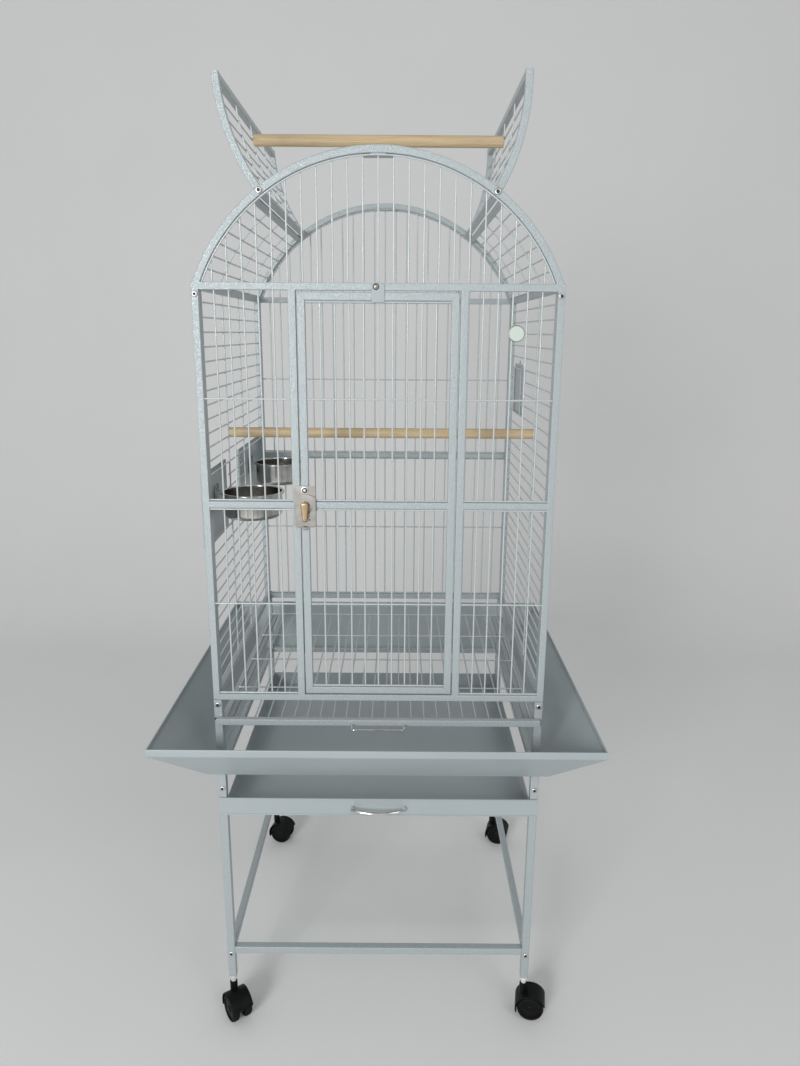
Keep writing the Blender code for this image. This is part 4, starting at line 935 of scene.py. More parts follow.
@dataclass
class EndPanel:
    """Front or rear panel: square tubes, the arch over them and the welded wires."""

    end: End
    layout: Layout
    stile: float = 0.011
    doorway: float = 0.1125
    lip: float = 0.0069
    last_upright: int = 11
    shelf: tuple[float, float, float] = (0.020, 0.008, 0.0025)
    shelf_edge: float = 0.0008
    tongue_rise: float = 0.003
    post_bolt_drop: float = 0.0105
    post_bolt: tuple[float, float] = (0.0042, 0.0016)

    @property
    def node(self) -> str:
        """Name of the CAD node."""
        return self.end.label + "_panel"

    def at(self, depth: float) -> float:
        """Place of a depth behind the panel's outer face."""
        return self.end.value * (self.layout.rear - depth)

    def point(self, x: float, z: float, depth: float | None = None) -> Vector:
        """A point of the panel, in the middle of its tubes unless a depth is given."""
        return Vector((x, self.at(self.layout.tube / 2 if depth is None else depth), z))

    def build(self) -> None:
        """Make the tubes and the wires."""
        self.tubes().piece(self.node, "tubes")
        self.wires().piece(self.node, "wires")

    def tubes(self) -> Shape:
        """Posts, beams, stiles, mid rails, arch and crown stop.

        Returns:
            The shape of all of them.
        """
        lay = self.layout
        shape = Shape(COAT)
        post = lay.half_width - lay.tube / 2
        low = lay.bottom + lay.tube / 2
        corners = [self.point(-post, low), self.point(post, low),
                   self.point(post, lay.beam), self.point(-post, lay.beam)]
        shape.sweep(tube_section(lay.tube, lay.tube), corners, Y_AXIS, looped=True)
        inner = lay.half_width - lay.tube * 0.6
        spans = [(-inner, inner)]
        square = (lay.tube, lay.tube * MID_SHARE)
        if self.end is End.FRONT:
            middle = self.doorway + self.stile / 2
            spans = [(-inner, -middle), (middle, inner)]
            for side in Side:
                x = side.value * middle
                shape.bar(self.point(x, low), self.point(x, lay.beam),
                          (self.stile, lay.tube * ARCH_SHARE), Y_AXIS)
        for first, last in spans:
            shape.bar(self.point(first, lay.mid), self.point(last, lay.mid), square, Y_AXIS)
        foot = math.acos((lay.beam - lay.arch_centre) / lay.arch_middle)
        shape.sweep(tube_section(lay.tube, lay.tube * ARCH_SHARE),
                    lay.hoop(lay.arch_middle, -foot, foot, self.at(lay.tube / 2)), Y_AXIS)
        self.crown_stop(shape)
        for side in Side:
            shape.bolt(self.point(side.value * post, lay.beam - self.post_bolt_drop, 0.0),
                       Y_AXIS * self.end.value, *self.post_bolt)
        return shape

    def crown_stop(self, shape: Shape) -> None:
        """Add the small shelf under the crown that the closed flaps rest on.

        Args:
            shape: the shape of the panel's tubes.
        """
        lay = self.layout
        half, reach, thickness = self.shelf
        inner = lay.arch_outer - lay.tube
        top = lay.arch_centre + math.sqrt(inner ** 2 - half ** 2) - lay.gap
        ends = sorted((self.at(lay.tube / 2), self.at(lay.tube + reach)))
        shape.block(Vector((-half, ends[0], top - thickness)), Vector((half, ends[1], top)),
                    self.shelf_edge)
        ends = sorted((self.at(lay.tube * 0.2), self.at(lay.tube * 0.75)))
        shape.block(Vector((-half / 2, ends[0], top - thickness + 0.0002)),
                    Vector((half / 2, ends[1], top + self.tongue_rise)))

    def upright_places(self) -> list[float]:
        """Places across the panel of the long upright wires.

        Returns:
            Their places along X, from left to right.
        """
        lay = self.layout
        if self.end is End.REAR:
            return [lay.pitch * index for index in range(-self.last_upright, self.last_upright + 1)]
        first, last = self.doorway + self.stile, lay.half_width - lay.tube
        count = round((last - first) / lay.pitch) - 1
        right = even(first, last, count)
        return [-x for x in reversed(right)] + right

    def level_places(self) -> list[float]:
        """Heights of the cross wires and of the wires that lie along the rails.

        Returns:
            The heights.
        """
        lay = self.layout
        return [*lay.cross_levels, lay.mid - self.lip, lay.mid + self.lip,
                lay.bottom + lay.tube / 2 + self.lip]

    def wires(self) -> Shape:
        """Uprights, the wires in the arch and the level wires in front of them.

        Returns:
            The shape of all of them.
        """
        lay = self.layout
        shape = Shape(WIRE_COAT)
        for x in self.upright_places():
            shape.wire([self.point(x, lay.bottom + lay.tube * 0.7),
                        self.point(x, lay.beam - lay.tube * 0.2)], lay.wire)
        tucked = lay.arch_outer - lay.tube * 0.7
        for index in range(-self.last_upright, self.last_upright + 1):
            x = lay.pitch * index
            top = lay.arch_centre + math.sqrt(tucked ** 2 - x ** 2)
            shape.wire([self.point(x, lay.beam + lay.tube * 0.2), self.point(x, top)], lay.wire)
        ahead = lay.tube / 2 - lay.crossing
        spans = [(-lay.half_width + lay.tube / 2, lay.half_width - lay.tube / 2)]
        if self.end is End.FRONT:
            spans = [(spans[0][0], -self.doorway - self.stile / 2),
                     (self.doorway + self.stile / 2, spans[0][1])]
        for z in self.level_places():
            for first, last in spans:
                shape.wire([self.point(first, z, ahead), self.point(last, z, ahead)], lay.wire)
        radius = lay.arch_middle - self.lip
        foot = math.acos((lay.beam + lay.tube * 0.4 - lay.arch_centre) / radius)
        shape.wire(lay.hoop(radius, -foot, foot, self.at(ahead)), lay.wire, Y_AXIS)
        return shape


# Places along the cage of the uprights beside the feeder openings and the hatch.
FEEDER_UPRIGHTS = (-0.0875, 0.0365)
HATCH_UPRIGHTS = (0.0925, 0.1795)


@dataclass
class SidePanel:
    """Left or right panel: a tube frame with level wires, left open behind plates.

    Each opening is (lowest wire, highest wire, first edge, last edge).
    """

    side: Side
    layout: Layout
    openings: tuple[tuple[float, float, float, float], ...]
    uprights: tuple[float, float] = FEEDER_UPRIGHTS

    @property
    def node(self) -> str:
        """Name of the CAD node."""
        return self.side.label + "_panel"

    def point(self, y: float, z: float, inward: float = 0.0) -> Vector:
        """A point of the panel, in the middle of its tubes or further inward."""
        lay = self.layout
        return Vector((self.side.value * (lay.half_width - lay.tube / 2 - inward), y, z))

    def build(self) -> None:
        """Make the tubes and the wires."""
        lay = self.layout
        shape = Shape(COAT)
        reach = lay.roof_half - lay.tube / 2
        low = lay.bottom + lay.tube / 2
        shape.sweep(tube_section(lay.tube, lay.tube),
                    [self.point(-reach, low), self.point(reach, low),
                     self.point(reach, lay.beam), self.point(-reach, lay.beam)], X_AXIS,
                    looped=True)
        shape.piece(self.node, "tubes")
        self.wires(reach).piece(self.node, "wires")

    def rows(self) -> list[float]:
        """Heights of the level wires.

        Returns:
            Their heights, counted up and down from the wire under the feeder doors.
        """
        lay = self.layout
        below = int((lay.feeder_row - lay.bottom - lay.tube - 2 * lay.wire) / lay.pitch)
        above = int((lay.beam - lay.tube / 2 - lay.feeder_row - 2 * lay.wire) / lay.pitch)
        return [lay.feeder_row + lay.pitch * index for index in range(-below, above + 1)]

    def wires(self, reach: float) -> Shape:
        """Level wires, uprights and the wires that frame the openings.

        Args:
            reach: half the length of the panel, to the middle of its posts.

        Returns:
            The shape of all of them.
        """
        lay = self.layout
        shape = Shape(WIRE_COAT)
        slack = lay.pitch / 4
        for z in self.rows():
            spans = [(-reach, reach)]
            for bottom, top, first, last in self.openings:
                if bottom + slack < z < top - slack:
                    spans = [piece for start, stop in spans
                             for piece in ((start, max(start, first)), (min(stop, last), stop))
                             if piece[1] - piece[0] > slack]
            for start, stop in spans:
                shape.wire([self.point(start, z), self.point(stop, z)], lay.wire)
        inward = lay.crossing
        low, high = lay.bottom + lay.tube / 2, lay.beam
        for y in self.uprights:
            shape.wire([self.point(y, low, inward), self.point(y, high, inward)], lay.wire)
        for bottom, top, first, last in self.openings:
            for y in (first, last):
                if abs(y) < reach and y not in self.uprights:
                    shape.wire([self.point(y, bottom), self.point(y, top)], lay.wire)
        return shape


@dataclass
class RoofSide:
    """Fixed curved side of the roof: wires on the arch and the rail beside the flap."""

    side: Side
    layout: Layout
    arcs: int = 3
    hinge_gap: float = 0.0006

    def build(self) -> None:
        """Make the rail and the wires."""
        lay = self.layout
        node = "roof_side_" + self.side.label
        tube_angle = lay.tube / lay.arch_middle
        start = lay.pivot_angle + (lay.tube / math.sqrt(2) + self.hinge_gap) / lay.arch_middle
        rail = Shape(COAT)
        middle = self.side.value * (start + tube_angle / 2)
        rail.bar(*lay.along(middle, lay.roof_half), (lay.tube * RAIL_SHARE, lay.tube),
                 lay.upward(middle))
        rail.piece(node, "rail")
        wires = Shape(WIRE_COAT)
        seat = (lay.beam + lay.tube / 2 - lay.arch_centre) / (lay.arch_middle - lay.wire)
        low = math.acos(seat) - lay.wire / lay.arch_middle
        high = start + tube_angle / 2
        reach = lay.roof_half - 2 * lay.wire
        count = round((low - high) * lay.arch_middle / lay.pitch) - 1
        for angle in even(high, low, count) + [low]:
            wires.wire(lay.along(self.side.value * angle, reach), lay.wire)
        for y in [-reach + lay.wire] + even(-reach, reach, self.arcs) + [reach - lay.wire]:
            wires.wire(lay.hoop(lay.arc_inner, self.side.value * high, self.side.value * low, y,
                                ARCH_STEPS // 3), lay.wire, Y_AXIS)
        wires.piece(node, "wires")


@dataclass
class RoofFlap:
    """Curved roof flap, standing open on its two pivots."""

    side: Side
    layout: Layout
    opened: float
    tip_angle: float = math.radians(2.6)
    arcs: int = 3

    def build(self) -> None:
        """Make the frame and the wires, closed, and turn them open."""
        lay = self.layout
        node = "roof_flap_" + self.side.label
        pivot = lay.pivot(self.side)
        turn = (Matrix.Translation(pivot) @ Matrix.Rotation(self.side.value * self.opened, 4, "Y")
                @ Matrix.Translation(-pivot))
        for part, shape in (("frame", self.frame()), ("wires", self.wires())):
            shape.turned_by(turn)
            shape.piece(node, part, node)

    def rail_angles(self) -> tuple[float, float]:
        """Angles from the vertical of the rails at the tip and at the pivot."""
        return self.tip_angle + self.layout.tube / self.layout.arch_middle / 2, \
            self.layout.pivot_angle

    def frame(self) -> Shape:
        """Two curved tubes and the two straight rails welded between them.

        Returns:
            The shape of the frame, closed.
        """
        lay = self.layout
        shape = Shape(COAT)
        rail_reach = lay.roof_half - lay.tube * 0.7
        for angle in self.rail_angles():
            turned = self.side.value * angle
            shape.bar(*lay.along(turned, rail_reach), (lay.tube * RAIL_SHARE, lay.tube * RAIL_SHARE),
                      lay.upward(turned))
        tip, root = self.rail_angles()
        half_tube = lay.tube / 2 / lay.arch_middle
        for end in End:
            shape.sweep(tube_section(lay.tube, lay.tube),
                        lay.hoop(lay.arch_middle, self.side.value * (tip - half_tube),
                                 self.side.value * (root + half_tube),
                                 end.value * (lay.roof_half - lay.tube / 2), ARCH_STEPS // 2), Y_AXIS)
        return shape

    def wires(self) -> Shape:
        """Wires along the flap and the arcs that cross them.

        Returns:
            The shape of the wires, closed.
        """
        lay = self.layout
        shape = Shape(WIRE_COAT)
        tip, root = self.rail_angles()
        reach = lay.roof_half - lay.tube / 2
        clear = (root - tip) * lay.arch_middle - lay.tube
        count = round(clear / lay.pitch) - 1
        half_tube = lay.tube / 2 / lay.arch_middle
        for angle in even(tip + half_tube, root - half_tube, count):
            shape.wire(lay.along(self.side.value * angle, reach), lay.wire)
        for y in even(-reach + lay.tube / 2, reach - lay.tube / 2, self.arcs):
            shape.wire(lay.hoop(lay.arc_inner, self.side.value * tip, self.side.value * root, y,
                                ARCH_STEPS // 2), lay.wire, Y_AXIS)
        return shape


@dataclass
class FlapPivot:
    """Screw through the arch that a roof flap turns on."""

    end: End
    side: Side
    layout: Layout
    head: tuple[float, float] = (0.0045, 0.0025)
    shank: float = 0.002
    short_of_end: float = 0.003

    def build(self) -> None:
        """Make the button head and the shank."""
        lay = self.layout
        outward = Y_AXIS * self.end.value
        seat = lay.pivot(self.side) + outward * (lay.rear + lay.gap)
        shape = Shape(BOLT)
        shape.bolt(seat, outward, *self.head)
        shape.wear(STEEL).wire([seat + outward * self.head[1] / 3,
                                seat - outward * (2 * lay.tube - self.short_of_end + lay.gap)],
                               self.shank, sides=16)
        node = f"flap_pivot_{self.end.label}_{self.side.label}"
        shape.piece(node, "screw")


@dataclass
class Perches:
    """Pine dowels: one inside the cage and one between the open flaps."""

    ease: float = 0.0014

    def build(self) -> None:
        """Make both dowels between the ends that the frame gives them."""
        for node, body in (("perch_inner", Body.CAGE), ("perch_top", Body.TOP_PERCH)):
            low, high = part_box(node)
            middle = (low + high) / 2
            radius = (high.z - low.z) / 2
            half = (high.x - low.x) / 2
            eased = [(radius - self.ease * (1 - math.sin(turn)),
                      half - self.ease * (1 - math.cos(turn)))
                     for turn in (0.0, math.pi / 6, math.pi / 3, math.pi / 2)]
            shape = Shape(PINE)
            shape.turn([(0.0, half)] + eased + [(r, -h) for r, h in reversed(eased)]
                       + [(0.0, -half)], middle, X_AXIS, 40)
            shape.piece(node, "dowel", body.value)


@dataclass
class Door:
    """Front door: mitred bar frame, mid bar, wires, and the pins it swings on."""

    layout: Layout
    bar: float = 0.011
    seam: float = 0.00012
    lip: float = 0.0069
    overlap: float = 0.003

    def build(self) -> None:
        """Make the frame, the wires and the pins."""
        low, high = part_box("door")
        self.frame(low, high).piece("door", "frame", Body.DOOR.value)
        self.wires(low, high).piece("door", "wires", Body.DOOR.value)
        for node in ("door_pin_lower", "door_pin_upper"):
            first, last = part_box(node)
            middle = (first + last) / 2
            radius = (last.x - first.x) / 2
            half = (last.z - first.z) / 2
            shape = Shape(STEEL)
            shape.turn([(0.0, half), (radius * 0.8, half), (radius, half - radius / 4),
                        (radius, radius / 4 - half), (radius * 0.8, -half), (0.0, -half)],
                       middle, Z_AXIS, 20)
            shape.piece(node, "steel")

    def frame(self, low: Vector, high: Vector) -> Shape:
        """The mitred frame with a fine seam at each corner, and the mid bar.

        Args:
            low: the door's lowest corner.
            high: the door's highest corner.

        Returns:
            The shape of the frame.
        """
        lay = self.layout
        shape = Shape(COAT)
        y = (low.y + high.y) / 2
        half = (high.x - low.x) / 2 - self.bar / 2
        corners = [Vector((x, y, z)) for x, z in (
            (-half, low.z + self.bar / 2), (half, low.z + self.bar / 2),
            (half, high.z - self.bar / 2), (-half, high.z - self.bar / 2))]
        section = tube_section(self.bar, lay.tube)
        for index, start in enumerate(corners):
            end = corners[(index + 1) % 4]
            run = (end - start).normalized()
            side = run.cross(Y_AXIS)
            shape.loft([[place + side * u + Y_AXIS * v + run * (away * (self.seam + u))
                         for u, v in section] for place, away in ((start, 1), (end, -1))])
        shape.bar((-half, y, lay.mid), (half, y, lay.mid), (lay.tube, lay.tube * ARCH_SHARE), Y_AXIS)
        return shape

    def wires(self, low: Vector, high: Vector) -> Shape:
        """Uprights and the level wires in front of them.

        Args:
            low: the door's lowest corner.
            high: the door's highest corner.

        Returns:
            The shape of the wires.
        """
        lay = self.layout
        shape = Shape(WIRE_COAT)
        y = (low.y + high.y) / 2
        inner = (high.x - low.x) / 2 - self.bar
        count = round(2 * inner / lay.pitch) - 1
        for x in even(-inner, inner, count):
            shape.wire([(x, y, low.z + self.bar * 0.6), (x, y, high.z - self.bar * 0.6)], lay.wire)
        edge = self.bar + self.lip - lay.tube / 2
        ahead = y - lay.crossing
        half = inner + self.overlap
        for z in (*lay.cross_levels, lay.mid - self.lip, lay.mid + self.lip, low.z + edge,
                  high.z - edge):
            shape.wire([(-half, ahead, z), (half, ahead, z)], lay.wire)
        return shape


UPRIGHT = Matrix(((1, 0, 0, 0), (0, 0, -1, 0), (0, 1, 0, 0), (0, 0, 0, 1)))
SIDEWAYS = Matrix(((0, 0, 1, 0), (1, 0, 0, 0), (0, 1, 0, 0), (0, 0, 0, 1)))


def upright_at(y: float) -> Matrix:
    """Placing of a plate that faces the front, with its middle at a place along Y."""
    return Matrix.Translation((0.0, y, 0.0)) @ UPRIGHT


def sideways_at(x: float) -> Matrix:
    """Placing of a plate that faces the side, with its middle at a place along X."""
    return Matrix.Translation((x, 0.0, 0.0)) @ SIDEWAYS


def rectangle(low: Point2, high: Point2, corner: float) -> list[Point2]:
    """Outline of a rectangle with rounded corners."""
    return rounded_corners([low, (high[0], low[1]), high, (low[0], high[1])], corner)


def knuckles(length: float, thick: float, thin: float, ends: float,
             splits: Sequence[float]) -> list[Point2]:
    """Profile of a hinge barrel that is parted into knuckles.

    Args:
        length: length of the barrel.
        thick: radius of the knuckles.
        thin: radius in the slits between them.
        ends: radius of the two end faces.
        splits: places of the slits, as shares of the length.

    Returns:
        (radius, height) points for a turned form.
    """
    ease, shoulder, slit = 0.0005, 0.0006, 0.0002
    profile = [(0.0, 0.0), (ends, 0.0), (thick, ease)]
    for place in (length * share for share in splits):
        profile += [(thick, place - shoulder), (thin, place - slit), (thin, place + slit),
                    (thick, place + shoulder)]
    return profile + [(thick, length - ease), (ends, length), (0.0, length)]


@dataclass
class DoorLock:
    """Door lock: base plate with its rivet, cover, brass knob and the tongue behind the door."""

    sheet: float = 0.0015
    corner: float = 0.0039
    knob_round: float = 0.0058
    cover_arc: float = 0.026
    knob_grip: float = 0.0038
    knob_edge: float = 0.0016
    tongue_sheet: float = 0.002
    shaft: float = 0.003
    slot: tuple[float, float] = (0.0098, 0.0122)
    slot_angles: tuple[float, float] = (math.radians(-82), math.radians(-22))
    rivet: tuple[float, float] = (0.0054, 0.0062)
    catch: tuple[float, float] = (0.0035, 0.004)
    screw: tuple[float, float, float] = (0.0066, 0.0213, 0.0016)

    def build(self) -> None:
        """Make the four pieces of the lock."""
        knob_low, knob_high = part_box("lock_knob")
        axis = Vector(((knob_low.x + knob_high.x) / 2, knob_high.y, knob_high.z - self.knob_round))
        self.base()
        self.cover(axis)
        self.knob(axis, knob_low)
        self.tongue(axis)

    def base(self) -> None:
        """The plate on the door with the rivet at its top."""
        low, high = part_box("lock_base")
        shape = Shape(STEEL)
        shape.slab([rectangle((low.x, low.z), (high.x, high.z), self.corner)], self.sheet,
                   upright_at(high.y - self.sheet / 2))
        ring, drop = self.rivet
        seat = Vector(((low.x + high.x) / 2, high.y - self.sheet, high.z - drop))
        rise = seat.y - low.y
        shape.wear(BOLT).turn([(0.0, 0.0), (ring, 0.0), (ring, rise * 0.3), (ring * 0.94, rise * 0.4),
                               (0.0, rise * 0.4)], seat, -Y_AXIS, 32)
        # The near-black ring between the rivet's washer and its dome is painted shade.
        shape.wear(SOCKET_DARK).disc(ring * 0.74, rise * 0.3, rise * 0.45, seat, -Y_AXIS, 32)
        shape.wear(BOLT).turn([(0.0, rise * 0.4), (ring * 0.5, rise * 0.4), (ring * 0.47, rise * 0.7),
                               (ring * 0.36, rise * 0.92), (ring * 0.16, rise), (0.0, rise)], seat,
                              -Y_AXIS, 32)
        across, reach = self.catch
        shape.wear(STEEL).block(Vector((seat.x - across, high.y - self.sheet, low.z - reach)),
                                Vector((seat.x + across, high.y, low.z + 0.002)))
        shape.piece("lock_base", "plate", Body.DOOR.value)

    def cover(self, axis: Vector) -> None:
        """The cover with its curved top edge and the curved slot beside the knob.

        Args:
            axis: the rear end of the knob's shaft.
        """
        low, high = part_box("lock_cover")
        half = (high.x - low.x) / 2
        middle = (low.x + high.x) / 2
        spread = math.asin(half / self.cover_arc)
        top = arc((middle, high.z - self.cover_arc), self.cover_arc, math.pi / 2 - spread,
                  math.pi / 2 + spread, 16)
        outline = rounded_corners([(low.x, low.z), (high.x, low.z), top[0]], self.corner)[:-1]
        outline = [place for place in outline if place[1] < low.z + 1.5 * self.corner]
        inner, outer = self.slot
        first, last = self.slot_angles
        slot = arc((axis.x, axis.z), outer, first, last, 8) \
            + arc((axis.x, axis.z), inner, last, first, 8)
        shape = Shape(STEEL)
        shape.slab([outline + top, slot], high.y - low.y, upright_at((low.y + high.y) / 2))
        across, drop, radius = self.screw
        seat = Vector((middle + across, low.y + 0.0004, axis.z - drop))
        shape.wear(BOLT).disc(radius * 1.4, 0.0, 0.0006, seat, -Y_AXIS)
        # The near-black middle of the screw is painted shade in its recess.
        shape.wear(SOCKET_DARK).disc(radius, 0.0, 0.0007, seat, -Y_AXIS)
        shape.piece("lock_cover", "plate", Body.DOOR.value)

    def knob(self, axis: Vector, knob_low: Vector) -> None:
        """The keyhole-shaped knob on its shaft.

        Args:
            axis: the rear end of the knob's shaft.
            knob_low: the knob's lowest corner.
        """
        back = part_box("lock_cover")[0].y - CLEARANCE
        front = knob_low.y
        drop = axis.z - knob_low.z - self.knob_grip
        outline = arc((axis.x, axis.z), self.knob_round, 0.0, math.pi, 12) \
            + arc((axis.x, axis.z - drop), self.knob_grip, math.pi, math.tau, 12)
        shape = Shape(BRASS)
        shape.slab([outline], back - front, upright_at((back + front) / 2), self.knob_edge)
        middle = Vector((axis.x, back - 0.001, axis.z))
        length = axis.y - middle.y
        shape.turn([(0.0, 0.0), (self.shaft, 0.0), (self.shaft, length - 0.0004),
                    (self.shaft - 0.0004, length), (0.0, length)], middle, Y_AXIS, 20)
        shape.piece("lock_knob", "brass", Body.LOCK.value)

    def tongue(self, axis: Vector) -> None:
        """The flat tongue behind the door on the end of the shaft.

        Args:
            axis: the rear end of the knob's shaft.
        """
        low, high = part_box("lock_tongue")
        cut = 0.001
        outline = arc((axis.x, axis.z), (high.x - low.x) / 2, 0.0, math.pi, 10) \
            + [(low.x, low.z + cut), (low.x + cut, low.z), (high.x - cut, low.z),
               (high.x, low.z + cut)]
        shape = Shape(STEEL)
        shape.slab([outline], self.tongue_sheet, upright_at(high.y - self.tongue_sheet / 2))
        foot = Vector((axis.x, low.y, axis.z))
        length = high.y - low.y
        shape.turn([(0.0, 0.0), (self.shaft, 0.0), (self.shaft, length), (0.0, length + 0.0006)],
                   foot, Y_AXIS, 20)
        shape.piece("lock_tongue", "plate", Body.LOCK.value)


@dataclass
class DoorTrim:
    """The stop tab at the top of the door and the blank round badge on the wires."""

    layout: Layout
    sheet: float = 0.0012
    corner: float = 0.0012
    rivet: tuple[float, float] = (-0.003, 0.0044)

    def build(self) -> None:
        """Make both pieces."""
        self.tab()
        self.badge()

    def tab(self) -> None:
        """The stop tab with its rivet."""
        low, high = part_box("door_stop_tab")
        shape = Shape(SHEET)
        shape.slab([rectangle((low.x, low.z), (high.x, high.z), self.corner)], self.sheet,
                   upright_at(high.y - self.sheet / 2))
        across, radius = self.rivet
        seat = Vector((across, high.y - self.sheet, self.layout.beam))
        rise = seat.y - low.y
        # The near-black ring round the rivet's dome is painted shade.
        shape.wear(SOCKET_DARK).disc(radius, 0.0, rise * 0.25, seat, -Y_AXIS, 24)
        shape.wear(STEEL).turn([(0.0, 0.0), (radius * 0.84, 0.0), (radius * 0.78, rise * 0.5),
                                (radius * 0.5, rise * 0.9), (0.0, rise)], seat, -Y_AXIS, 24)
        shape.piece("door_stop_tab", "plate", Body.DOOR.value)

    def badge(self) -> None:
        """The blank disc: a steel rim round a slightly domed enamel face."""
        low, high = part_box("badge")
        radius = (high.x - low.x) / 2
        depth = high.y - low.y
        seat = Vector(((low.x + high.x) / 2, high.y, (low.z + high.z) / 2))
        shape = Shape(STEEL)
        shape.turn([(0.0, 0.0), (radius * 0.97, 0.0), (radius, depth * 0.3), (radius, depth * 0.7),
                    (radius * 0.97, depth), (radius * 0.9, depth), (radius * 0.88, depth * 0.8),
                    (0.0, depth * 0.8)], seat, -Y_AXIS, 40)
        shape.wear(ENAMEL).turn([(0.0, depth * 0.5), (radius * 0.87, depth * 0.5),
                                 (radius * 0.87, depth * 0.85), (radius * 0.5, depth * 0.93),
                                 (0.0, depth * 0.95)], seat, -Y_AXIS, 40)
        shape.piece("badge", "disc")


@dataclass
class Feeder:
    """Swing-out feeder door with its cup ring and stainless cup."""

    place: End
    sheet: float = 0.0012
    corner: float = 0.001
    barrel: float = 0.0025
    flange: float = 0.0024
    flange_insets: tuple[float, float] = (0.006, 0.001)
    fold_inset: float = 0.0005
    bolt_inset: float = 0.012
    bolt: tuple[float, float] = (0.0035, 0.001)
    knuckle: float = 0.0016
    ring_wire: float = 0.0015
    ring_drop: float = 0.0013
    arm_half: float = 0.0118
    foot_half: float = 0.0148
    foot_sheet: float = 0.003
    hook_rise: float = 0.010
    wall: float = 0.0008
    bead: float = 0.0016
    cup_centre_x: float = -0.197
    cup_body: float = 0.0455
    cup_base: float = 0.0419

    def build(self) -> None:
        """Make the door, the ring and the cup."""
        label = self.place.label
        cup_low, cup_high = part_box("cup_" + label)
        rim = Vector((self.cup_centre_x, (cup_low.y + cup_high.y) / 2, cup_high.z))
        self.door("feeder_door_" + label, "feeder_" + label)
        self.ring("cup_ring_" + label, "feeder_" + label, rim)
        self.cup("cup_" + label, rim, (cup_high.y - cup_low.y) / 2, rim.z - cup_low.z)

    def door(self, node: str, body: str) -> None:
        """The sheet with bent edges, the hinge barrel and two bolts.

        Args:
            node: its CAD node.
            body: the body that it moves with.
        """
        low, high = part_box(node)
        inner = high.x
        middle = inner - self.sheet / 2
        hinge = low.y + self.barrel
        shape = Shape(SHEET)
        shape.slab([rectangle((hinge, low.z), (high.y, high.z), self.corner)], self.sheet,
                   sideways_at(middle))
        edge = inner - self.flange / 2
        start, stop = self.flange_insets
        for z in (low.z + self.sheet / 2, high.z - self.sheet / 2):
            shape.bar((edge, hinge + start, z), (edge, high.y - stop, z),
                      (self.flange, self.sheet), Z_AXIS, THIN_CORNER)
        shape.bar((edge, high.y - self.sheet / 2, low.z + self.fold_inset),
                  (edge, high.y - self.sheet / 2, high.z - self.fold_inset),
                  (self.flange, self.sheet), Y_AXIS, THIN_CORNER)
        height = high.z - low.z
        thin = self.knuckle * 0.8
        shape.turn(knuckles(height, self.knuckle, thin, thin, (1 / 3, 2 / 3)),
                   Vector((inner - self.barrel, hinge, low.z)), Z_AXIS, 20)
        for z in (low.z + height * 0.25, low.z + height * 0.75):
            shape.bolt(Vector((inner - self.sheet, high.y - self.bolt_inset, z)), -X_AXIS, *self.bolt)
        shape.piece(node, "sheet", body)

    def ring(self, node: str, body: str, rim: Vector) -> None:
        """The wire ring, its two arms and hooks, and the foot on the door.

        Args:
            node: its CAD node.
            body: the body that it moves with.
            rim: middle of the cup's rim.
        """
        low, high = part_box(node)
        outer = high.x - rim.x
        radius = (outer + self.cup_body) / 2
        level = rim.z - self.ring_drop - self.ring_wire
        loop = [Vector((*place, level))
                for place in arc((rim.x, rim.y), radius, 0.0, math.tau, ARCH_STEPS)[:-1]]
        shape = Shape(CHROME)
        shape.wire(loop, self.ring_wire, Z_AXIS, True, 10)
        for side in (-1, 1):
            y = rim.y + side * self.arm_half
            shape.wire([(rim.x - radius * 0.96, y, level), (low.x, y, level)], self.ring_wire, sides=10)
        foot_low = Vector((low.x, rim.y - self.foot_half, low.z))
        foot_high = Vector((low.x + self.foot_sheet, rim.y + self.foot_half, high.z))
        shape.wear(STEEL).block(foot_low, foot_high, 0.0007)
        for side in (-1, 1):
            place = Vector((low.x + self.foot_sheet / 2, rim.y + side * self.arm_half,
                            high.z - 0.002))
            shape.wear(CHROME).wire([place, place + Z_AXIS * self.hook_rise], self.ring_wire, sides=10)
        shape.piece(node, "wire", body)

    def cup(self, node: str, rim: Vector, radius: float, depth: float) -> None:
        """The stainless cup: rounded base, straight wall and rolled rim.

        Args:
            node: its CAD node, which is also its body.
            rim: middle of its rim.
            radius: radius of the rim.
            depth: height of the cup.
        """
        wall, bead = self.wall, self.bead
        body, base = self.cup_body, self.cup_base
        outside = [(0.0, -depth), (base - 0.005, -depth), (base - 0.001, -depth + 0.0008),
                   (body - 0.0008, -depth + 0.0045), (body, -depth + 0.009), (body, -2 * bead)]
        roll = arc((radius - bead, -bead), bead, -math.pi / 2 - 0.6, math.pi / 2, 8)
        inside = [(body - wall + 0.0006, -0.0006), (body - wall, -0.002),
                  (body - wall, -depth + 0.009), (body - wall - 0.001, -depth + 0.0052),
                  (base - 0.0022, -depth + 0.0018), (base - 0.006, -depth + wall),
                  (0.0, -depth + wall)]
        shape = Shape(STAINLESS)
        shape.turn(outside + roll + inside, rim, Z_AXIS, 48)
        shape.piece(node, "bowl", node)


